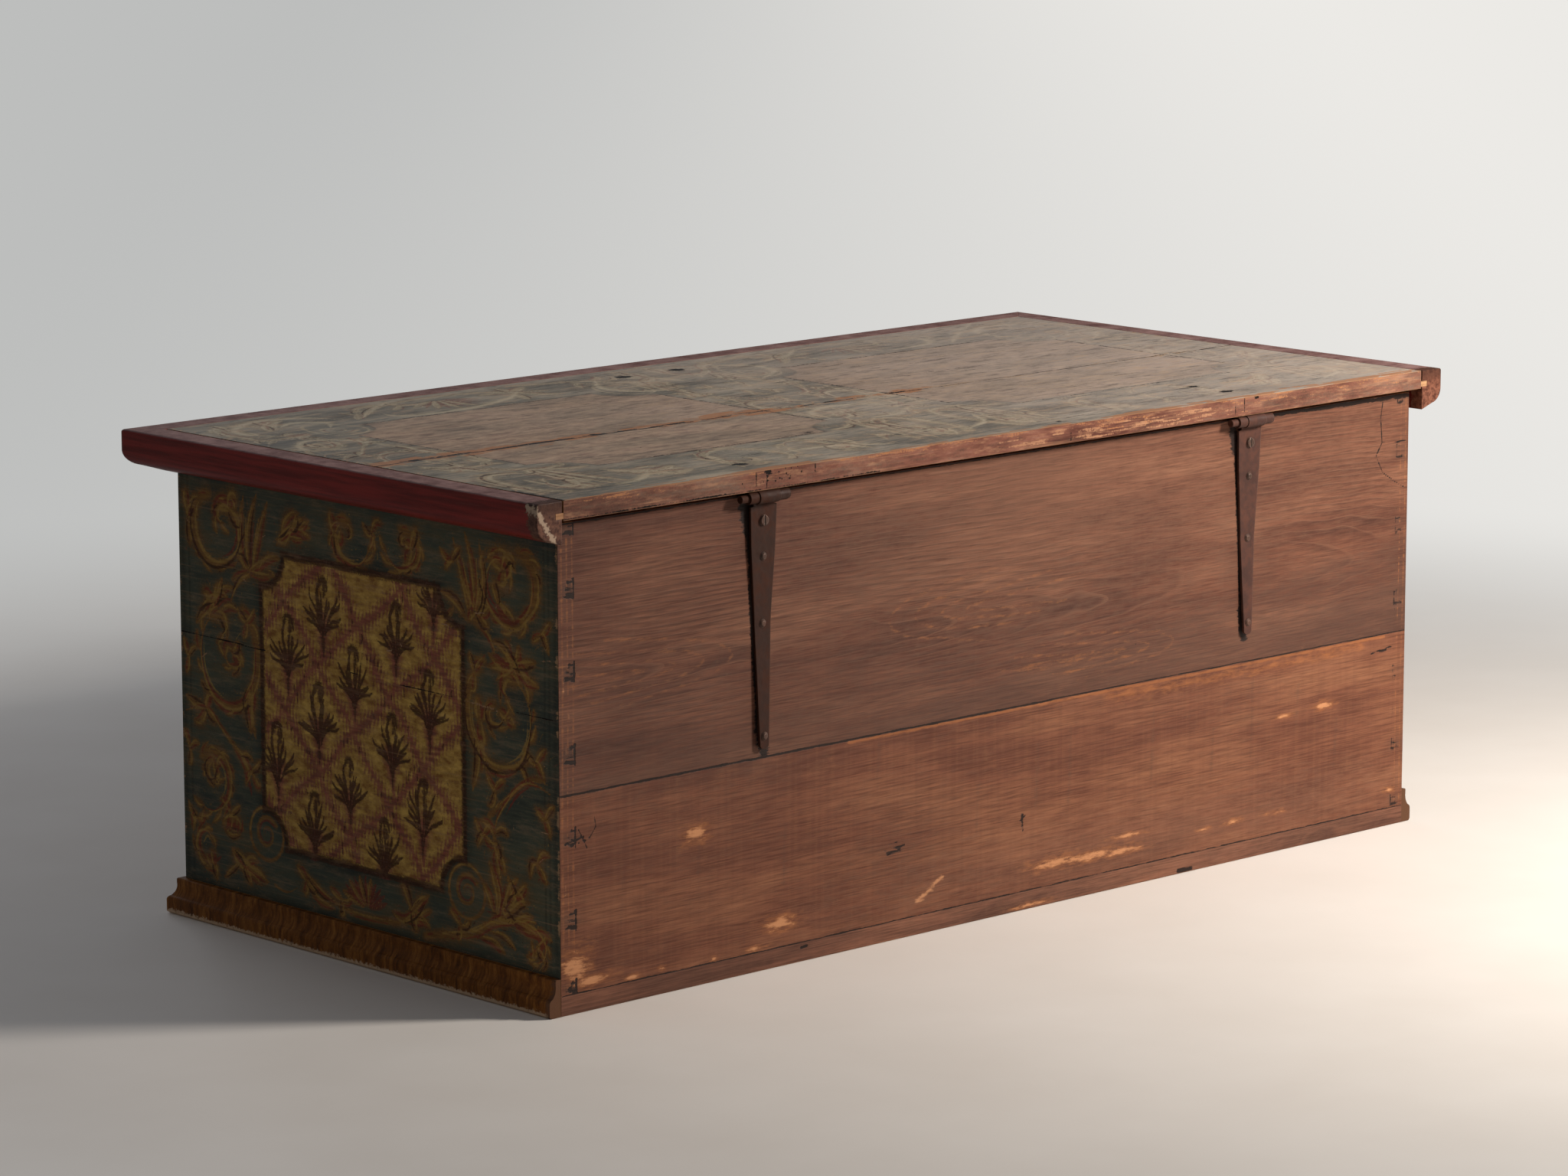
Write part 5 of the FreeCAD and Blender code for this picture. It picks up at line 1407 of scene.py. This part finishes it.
    def end_skin(self, face: Face) -> None:
        """Paint one end: a cartouche in scrolls, dark bands at the corners and a cracked seam.

        Args:
            face: Which end.
        """
        painter = ScrollPainter()
        skin = Skin(f"{face.value}_end_paint", face, self.half_length,
                    lines((-302.6, 302.6, 1.5)), lines((38.4, 499.4, 1.5)))
        painter.paint_panel(skin, (-303, 303, 38, 478),
                            (painter.left, painter.right, painter.foot, painter.head), 0.0)
        self.corner_bands(skin, ((-297, 9), (-287, 4), (282, 3), (289, 4), (298, 9)), 300)
        seam = self.end_seam
        skin.score("dark", 1.3, -302, seam + 6, -240, seam + 6, -160, seam + 4)
        skin.score("dark", 1.0, -20, seam + 1, 60, seam, 140, seam - 1, 302, seam - 2,
                   strength=0.8)
        skin.score("bare", 3.0, 150, seam - 1, 205, seam - 3, strength=0.6)
        self.scratches(skin, 26, 290, 60, 470, 1.6, 9, 4, 0.75)
        for y in self.rng.uniform(50, 480, 14):
            skin.spot("bare", 301.5, y, 5, self.rng.uniform(6, 26), 0.75)
            skin.spot("bare", -301.5, y, 4, self.rng.uniform(6, 20), 0.6)
        skin.build([(0, self.end_paint)], Body.CHEST, Slot.END)

    def front_skin(self) -> None:
        """Paint the front: two cartouches in scrolls either side of the keyhole."""
        painter = ScrollPainter(rng=np.random.default_rng(SEED + 2))
        skin = Skin("front_paint", Face.FRONT, self.half_depth, lines((-634.6, 634.6, 2.1)),
                    lines((38.4, 499.4, 1.9)))
        painter.paint_panel(skin, (-633, -8, 38, 478), (-500, -118, 99, 408), 0.12)
        painter.paint_panel(skin, (8, 633, 38, 478), (118, 500, 99, 408), 0.12, mirrored=True)
        self.corner_bands(skin, ((-629, 10), (-617, 4), (617, 4), (629, 10)), 630)
        seam = self.front_seam
        skin.score("dark", 1.3, -634, seam + 0.2, -300, seam - 0.4, -40, seam, strength=0.9)
        skin.score("dark", 1.1, 120, seam - 0.2, 420, seam, 634, seam - 0.4, strength=0.8)
        # Hands and keys rubbed the paint around the keyhole and under the lid; the keyhole itself
        # is painted dark, as painted shade for the hole
        for spot in (("bare", 0, 436, 34, 58, 0.9), ("dark", 0, 436, 13, 13, 1.0),
                     ("bare", -20, 470, 220, 30, 0.52), ("bare", 60, 80, 300, 40, 0.46)):
            skin.spot(*spot)
        skin.score("dark", 7, 0, 436, 0, 420)
        self.scratches(skin, 40, 620, 50, 480, 1.8, 12, 5, 0.72)
        skin.build([(0, self.front_paint)], Body.CHEST, Slot.FRONT)

    def build(self) -> None:
        """Dress the boards and mouldings and lay all the skins of the box."""
        dress({"front_board_upper front_board_lower": self.inner_pine,
               "back_board_upper": self.upper_pine, "back_board_lower": self.lower_pine,
               "end_right_upper end_right_lower end_left_upper end_left_lower": self.end_pine,
               "bottom_board_front bottom_board_middle bottom_board_back": self.bottom_pine,
               "wall_dowels bottom_pegs": BIRCH, "till_side till_bottom": self.till_pine,
               "base_moulding_front": self.base_front,
               "base_moulding_right base_moulding_left": self.base_end})
        self.back_skin()
        self.end_skin(Face.RIGHT)
        self.end_skin(Face.LEFT)
        self.front_skin()


# Scrolls that still show on the lid between the cartouches
LID_SCROLLS = (
    (462, -236, 488, -274, 540, -291, 590, -262, 602, -222, 580, -188),
    (508, -204, 490, -232, 518, -256, 547, -240),
    (188, -276, 232, -236, 300, -211, 362, -205, 402, -216, 410, -242),
    (352, -302, 400, -270, 442, -232), (-62, -150, -114, -184, -127, -230, -98, -268),
    (62, -150, 104, -180, 112, -222, 78, -272), (8, -196, 20, -236, 52, -268),
    (-42, 122, -22, 70, 30, 50, 74, 74, 82, 112), (-36, 110, 4, 136, 50, 140),
    (-602, -228, -590, -264, -546, -281, -506, -252, -500, -208, -528, -178),
    (-640, -204, -602, -150, -562, -118), (-560, -316, -484, -262, -420, -208),
    (-330, -214, -400, -226, -417, -260, -394, -291), (-362, -238, -344, -268),
    (540, -58, 546, -120, 582, -150, 616, -120, 622, -78), (452, 232, 492, 268, 544, 282),
    (-592, 206, -566, 254, -520, 276), (-46, 196, -20, 240, 24, 262),
    (150, 286, 210, 250, 268, 242), (-250, -296, -204, -262, -150, -250))

# Rust-stained nail ends and knots of the lid: middle, width and strength
LID_NAILS = (
    (364, 273, 17, 1.0), (-364, 273, 17, 1.0), (364, 223, 8, 0.7), (-364, 223, 13, 0.95),
    (364, 173, 6, 0.6), (-364, 173, 7, 0.6), (364, 123, 5, 0.55), (-364, 123, 6, 0.6),
    (40, -266, 20, 1.0), (-40, -266, 20, 1.0), (342, 26, 12, 0.9), (169, 168, 14, 0.62),
    (-75, 296, 9, 0.8))


@dataclass
class Lid:
    """The lid: two boards in a frame of red mouldings, painted and worn on top."""

    back: float = 317.0
    top: float = 520.0
    seam: float = 30.0
    # How far from the middle cracks and scuffs lie
    reach: float = 630.0
    rng: np.random.Generator = field(default_factory=lambda: np.random.default_rng(SEED + 3))

    boards: AgedPine = pine("pine_lid_inside", Along.X, "#c29a72 #a97c57 #8a6142 #6b4529", 5.4,
                            (0.2, 0.2, -0.62), 3.0, 0.5)
    paint: DistemperPaint = DistemperPaint(
        "distemper_lid", ground=("#66635b", "#858074", "#b0a592"),
        field=("#8f7260", "#bd9f86"), stroke=("#bcae92", "#a8997d"),
        light=("#cdc1a8", "#bdb198"), fade=0.4, rub=0.3, wood=("#9a8069", "#bda084"),
        flecks=0.55, sheen=0.3)
    edge_paint: DistemperPaint = DistemperPaint(
        "oil_red_lid_back", ground=("#58332a", "#7d5143", "#99705e"), fade=0.5, rub=0.4,
        wood=("#94684f", "#b98c6b"), flecks=0.4)
    ends: OilPaintedMoulding = OilPaintedMoulding("oil_red_left_end",
                                                  chip=("#4a2a20", "#7f5240"))
    chipped: OilPaintedMoulding = OilPaintedMoulding("oil_red_broken_end",
                                                     chip=("#402620", "#6d4a3b"))
    front_red: OilPaintedMoulding = OilPaintedMoulding("oil_red_front", Along.X)

    def top_skin(self) -> None:
        """Paint the top: two long tan cartouches in faded scrolls, worn along the seam."""
        painter = ScrollPainter(notch=52.0, rng=np.random.default_rng(SEED + 4))
        skin = Skin("lid_top_paint", Face.TOP, self.top,
                    lines((-638.8, 638.8, 2.3)), lines((-314.8, 316.8, 2.3)))
        painter.paint_panel(skin, (-639, 0, -315, 317), (-526, -86, -195, 172), 0.72)
        painter.paint_panel(skin, (4, 639, -315, 317), (100, 522, -195, 178), 0.72,
                            mirrored=True)
        uniform, normal, choice = self.rng.uniform, self.rng.normal, self.rng.choice
        # The joint of the two boards opened and its edges rubbed down to the wood
        skin.score("dark", 3.2, -638, 29.6, -500, 30.4, -330, 29.8, -90, 30.2, strength=0.7)
        skin.score("dark", 3.2, 250, 30, 430, 29.5, 560, 30.2, 638, 30, strength=0.8)
        clumps = uniform(-130, 630, 26)
        for _ in range(170):
            x, y = choice(clumps) + normal(0, 16), 25 + normal(0, 6)
            skin.score("tan", uniform(6, 15), x, y, x + uniform(4, 40), y + normal(0, 3),
                       strength=uniform(0.5, 0.95))
        for _ in range(34):
            x, y = uniform(-130, 600), 27 + normal(0, 2.4)
            skin.score("dark", uniform(2.6, 4), x, y, x + uniform(8, 50), y + normal(0, 1.6),
                       strength=0.85)
        for curve in LID_SCROLLS:
            skin.brush(Stroke("ochre", 15, LEAF, curve))
            skin.brush(Stroke("light", 8, LEAF, tuple(n + 3 for n in curve)))
        for left, right in ((-526, -86), (100, 522)):
            for y in (-196, 176):
                skin.score("dark", 4.6, left + 52, y, right - 52, y, strength=0.58)
            for x in (left, right):
                skin.score("dark", 4, x, -143, x, 124, strength=0.58)
        # Drying cracks follow the grain
        for _ in range(70):
            x, y = uniform(-self.reach, 560), uniform(-310, 310)
            skin.score("dark", 1.6, x, y, x + uniform(20, 60), y + normal(0, 1.5),
                       x + uniform(70, 180), y + normal(0, 2.5), strength=0.6)
        for _ in range(60):
            x = uniform(-self.reach, 560)
            skin.score("bare", 3, x, self.seam + normal(0, 5), x + uniform(6, 40),
                       self.seam + normal(0, 4), strength=0.75)
        # The far end is paler, from dust and from painted sheen and light on the side towards the
        # lamp
        x, y = skin.grids()
        skin.raise_to("dust_and_sheen", np.clip(0.44 - x / 1300 + 0.06 * np.sin(x / 90 + y / 60), 0, 1))
        for _ in range(90):
            skin.spot(str(choice(("shade", "shade", "under"))), uniform(-620, 620),
                      uniform(-300, 300), uniform(50, 220), uniform(14, 60), uniform(0.5, 0.85))
        for x, y, wide, much in LID_NAILS:
            skin.spot("dark", x, y, wide, wide * 0.8, much)
            skin.spot("shade", x, y, wide * 2.2, wide * 1.6, 0.55)
        self.edges(skin)
        skin.build([(-400, self.paint)], Body.LID, Slot.LID)

    def worn(self, spread: float, clumps: np.ndarray) -> tuple[float, float]:
        """Pick a place along the back edge and how heavily it is worn there.

        Args:
            spread: How far round its clump the place may lie.
            clumps: Middles of the clumps.

        Returns:
            The place and the wear, from 0 to 1.
        """
        x = self.rng.choice(clumps) + self.rng.normal(0, spread)
        return x, 1.0 if x < -100 or 290 < x < 400 else 0.5

    def edges(self, skin: Skin) -> None:
        """Wear the arris over the hinges and the ends of the boards.

        Args:
            skin: Skin of the top.
        """
        uniform, normal = self.rng.uniform, self.rng.normal
        clumps = uniform(-self.reach, self.reach, 30)
        for _ in range(190):
            x, heavy = self.worn(26, clumps)
            long, wide = uniform(8, 46), uniform(3.0, 7.0) * heavy
            y = self.back - abs(normal(0, 6.5)) * heavy
            skin.score("tan", wide, x, y, x + long, y + normal(0, 1), strength=0.9)
        for side in (-1, 1):
            skin.score("dark", 1.6, side * 638.4, -314, side * 638, -120, side * 638.5, 60,
                       strength=0.7)
            for _ in range(50):
                y = uniform(-310, 310)
                skin.score("bare", 2.6, side * 637, y, side * (637 - uniform(0, 7)),
                           y + normal(0, 7), strength=0.72)
        skin.score("dark", 4, 638, 240, 637, 275, 638.5, 300, 638, 316)
        for _ in range(240):
            x, y = uniform(-self.reach, self.reach), uniform(-305, 305)
            skin.score("bare", uniform(1, 2.6), x, y, x + uniform(4, 60), y + normal(0, 2.0),
                       strength=uniform(0.4, 0.7))

    def back_edge_skin(self) -> None:
        """Paint the edge of the lid over the hinges: thin red-brown, worn orange above."""
        skin = Skin("lid_back_edge_paint", Face.BACK, self.back,
                    lines((-638.8, 638.8, 1.6)), lines((500.3, 519.7, 0.9)), proud=0.2)
        uniform, normal = self.rng.uniform, self.rng.normal
        clumps = uniform(-self.reach, self.reach, 34)
        for _ in range(300):
            x, heavy = self.worn(16, clumps)
            y = self.top - abs(normal(0, 5.5)) * heavy
            skin.score("tan", uniform(1.4, 4.2) * (0.4 + heavy * 0.6), x, y,
                       x + uniform(4, 30), y + normal(0, 0.5), strength=0.5)
        for _ in range(26):
            skin.spot("dark", normal(345, 24), uniform(507, 519), 2.2, 2.2, 0.9)
        for _ in range(60):
            x, y = uniform(-330, 10), uniform(502, 516)
            skin.score("bare", uniform(1.4, 3), x, y, x + uniform(6, 40), y, strength=0.6)
        # Painted shadow along the foot of the edge
        skin.score("dark", 2.4, 638, 501.2, 500, 501.5, 330, 501, 210, 501.2, strength=0.6)
        for start, end, much in ((638, 410, 0.7), (460, 200, 0.5), (-180, -400, 0.45),
                                 (-380, -638, 0.66)):
            skin.brush(Stroke("shade", 40, EVEN, (start, 510, end, 510), much))
        for x in (382, 368, 300, -72, -330, -345):
            skin.score("dark", 1.2, x, 502, x + 1, 519, strength=0.9)
        skin.spot("dark", 366, 518, 12, 7, 0.9)
        skin.spot("dark", -364, 518, 10, 6, 0.8)
        for _ in range(60):
            skin.spot("shade", uniform(-self.reach, self.reach), uniform(501, 512),
                      uniform(8, 40), 4, 0.6)
        skin.build([(0, self.edge_paint)], Body.LID, Slot.LID)

    def build(self) -> None:
        """Dress the lid's boards and mouldings and lay its skins."""
        dress({"lid_board_front lid_board_back": self.boards, "lid_dowels": BIRCH,
               "lid_edge_front": self.front_red, "lid_edge_right": self.chipped,
               "lid_edge_left": self.ends})
        self.top_skin()
        self.back_edge_skin()


@dataclass
class Ironwork:
    """Strap hinges, lock, staple and their nails and screws."""

    strap: ForgedIron = ForgedIron("forged_iron_straps")
    # The near hinge is darker: more rust, and painted shade for its end of the chest, farther from
    # the lamp
    rusty_shaded_strap: ForgedIron = ForgedIron("forged_iron_rusty_shaded_strap", "#301a11", "#3e2013",
                                        "#5e4435")
    lock: ForgedIron = ForgedIron("forged_iron_lock", "#37302c", "#48322a", "#857a72", 0.5,
                                  0.46)
    fixing: ForgedIron = ForgedIron("forged_iron_fixings", "#4d3d36", "#5c4034", "#a3958c",
                                    0.6, 0.42)

    def build(self) -> None:
        """Dress every piece of iron."""
        dress({"hinge_right_back_strap hinge_right_lid_leaf hinge_right_pin": self.rusty_shaded_strap,
               "hinge_left_back_strap hinge_left_lid_leaf hinge_left_pin": self.strap,
               "bolt_guide_right bolt_guide_left lock_plate lock_case lock_bolt staple_plate "
               "staple_loop": self.lock,
               "hinge_screws hinge_back_nails hinge_lid_nails lock_nails staple_nails":
                   self.fixing})


def dress(wear: dict[str, Finish]) -> None:
    """Give CAD nodes their finishes.

    Args:
        wear: Finish by the names of the nodes that take it, with blanks between.
    """
    for nodes, finish in wear.items():
        for node in nodes.split():
            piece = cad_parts[node]
            piece.data.materials.clear()
            piece.data.materials.append(finish.material())
            LOG.info("%s: %s", node, finish.name)


@dataclass(frozen=True)
class PaleFloor(Finish):
    """Pale, lightly marked plaster floor that fades into the plain background."""

    tones: tuple[str, str] = ("#e5dfd8", "#f2eee9")
    far: tuple[str, str] = ("#bdbebd", "#eceae6")
    fade_from: float = 1.05
    fade_to: float = 2.6
    # Towards the lamp; the background is a little brighter on that side
    bright_side: Place = (-0.727, 0.686, 0.0)

    def build(self, add: Adder) -> Node:
        """Build the floor and its fade.

        Args:
            add: Adds a node to the material.

        Returns:
            The shader.
        """
        place = add("TexCoord").outputs["Object"]
        colour = add("Mix", add("TexNoise", place, 5.0, 8.0), *self.tones)
        lit = add("BsdfPrincipled", {"Base Color": colour, "Roughness": 0.6,
                                     "Specular IOR Level": 0.2})
        fade = add("MapRange", add("VectorMath LENGTH", place), self.fade_from, self.fade_to,
                   **SOFT)
        side = add("VectorMath DOT_PRODUCT", place, self.bright_side)
        far = add("Mix", add("MapRange", side, -1.6, 1.8, **SOFT), *self.far)
        seen = add("Math MULTIPLY", fade, add("LightPath").outputs["Is Camera Ray"])
        return add("MixShader", seen, lit, add("Emission", far, 1.0))


@dataclass
class Studio:
    """Floor, background, lamps and the camera at the photograph's place."""

    camera_at: Place = (4.23607, 4.44114, 1.43457)
    right: Place = (-0.727176, 0.686450, -0.001133)
    up: Place = (-0.124404, -0.130161, 0.983657)
    focal_pixels: float = 7456.68
    frame_width: int = 2048
    sensor: float = 36.0
    floor_radius: float = 30.0
    floor_level: float = -0.0004
    fill: float = 0.16
    # Name, place, aim, side, watts and colour of each square lamp
    lamps: tuple = (("key_lamp", (-1.1, 1.6, 1.36), (-0.7, 0.3, 0.4), 0.4, 57.0, "#fff6ec"),
                    ("front_fill", (-0.7, -4.2, 2.2), (0.0, -0.3, 0.2), 2.4, 26.0, "#f6f8ff"))

    def floor(self) -> None:
        """Lay the floor."""
        count = 96
        turn = [2 * math.pi * k / count for k in range(count)]
        points = [(self.floor_radius * math.cos(t), self.floor_radius * math.sin(t),
                   self.floor_level) for t in turn]
        mesh = bpy.data.meshes.new("studio_floor")
        mesh.from_pydata(points, [], [list(range(count))])
        mesh.materials.append(PaleFloor("pale_floor").material())
        piece = bpy.data.objects.new("studio_floor", mesh)
        bpy.context.scene.collection.objects.link(piece)

    def world(self) -> None:
        """Set a pale background and the soft light that comes from everywhere."""
        world = bpy.data.worlds.new("studio")
        world.use_nodes = True
        world.node_tree.nodes.clear()
        add = partial(add_node, world.node_tree)
        soft = add("Background", "#f4f6fa", self.fill)
        pale = add("Background", "#d2d1ce", 1.0)
        seen = add("LightPath").outputs["Is Camera Ray"]
        add("OutputWorld", add("MixShader", seen, soft, pale))
        bpy.context.scene.world = world

    def light(self) -> None:
        """Hang the lamps."""
        for name, at, aim, size, watts, colour in self.lamps:
            lamp = bpy.data.lights.new(name, "AREA")
            lamp.size, lamp.energy, lamp.color = size, watts, linear(colour)[:3]
            piece = bpy.data.objects.new(name, lamp)
            piece.visible_camera = False
            turn = (Vector(aim) - Vector(at)).to_track_quat("-Z", "Y").to_matrix().to_4x4()
            piece.matrix_world = Matrix.Translation(at) @ turn
            bpy.context.scene.collection.objects.link(piece)

    def camera(self) -> None:
        """Set the camera where the photograph was taken from."""
        data = bpy.data.cameras.new("photo_camera")
        data.sensor_fit = "HORIZONTAL"
        data.sensor_width = self.sensor
        data.lens = self.sensor * self.focal_pixels / self.frame_width
        right, up = Vector(self.right), Vector(self.up)
        turn = Matrix((right, up, right.cross(up))).transposed().to_4x4()
        piece = bpy.data.objects.new("photo_camera", data)
        piece.matrix_world = Matrix.Translation(self.camera_at) @ turn
        bpy.context.scene.collection.objects.link(piece)
        bpy.context.scene.camera = piece

    def build(self) -> None:
        """Set up the whole studio."""
        self.floor()
        self.world()
        self.light()
        self.camera()
        bpy.context.scene.view_settings.view_transform = "Standard"


def main() -> None:
    """Dress the chest, light it and set the camera."""
    logging.basicConfig(level=logging.INFO, format="%(name)s %(message)s")
    for part in (Carcass(), Lid(), Ironwork(), Studio()):
        part.build()
        LOG.info("%s done", type(part).__name__)


if __name__ == "__main__":
    main()
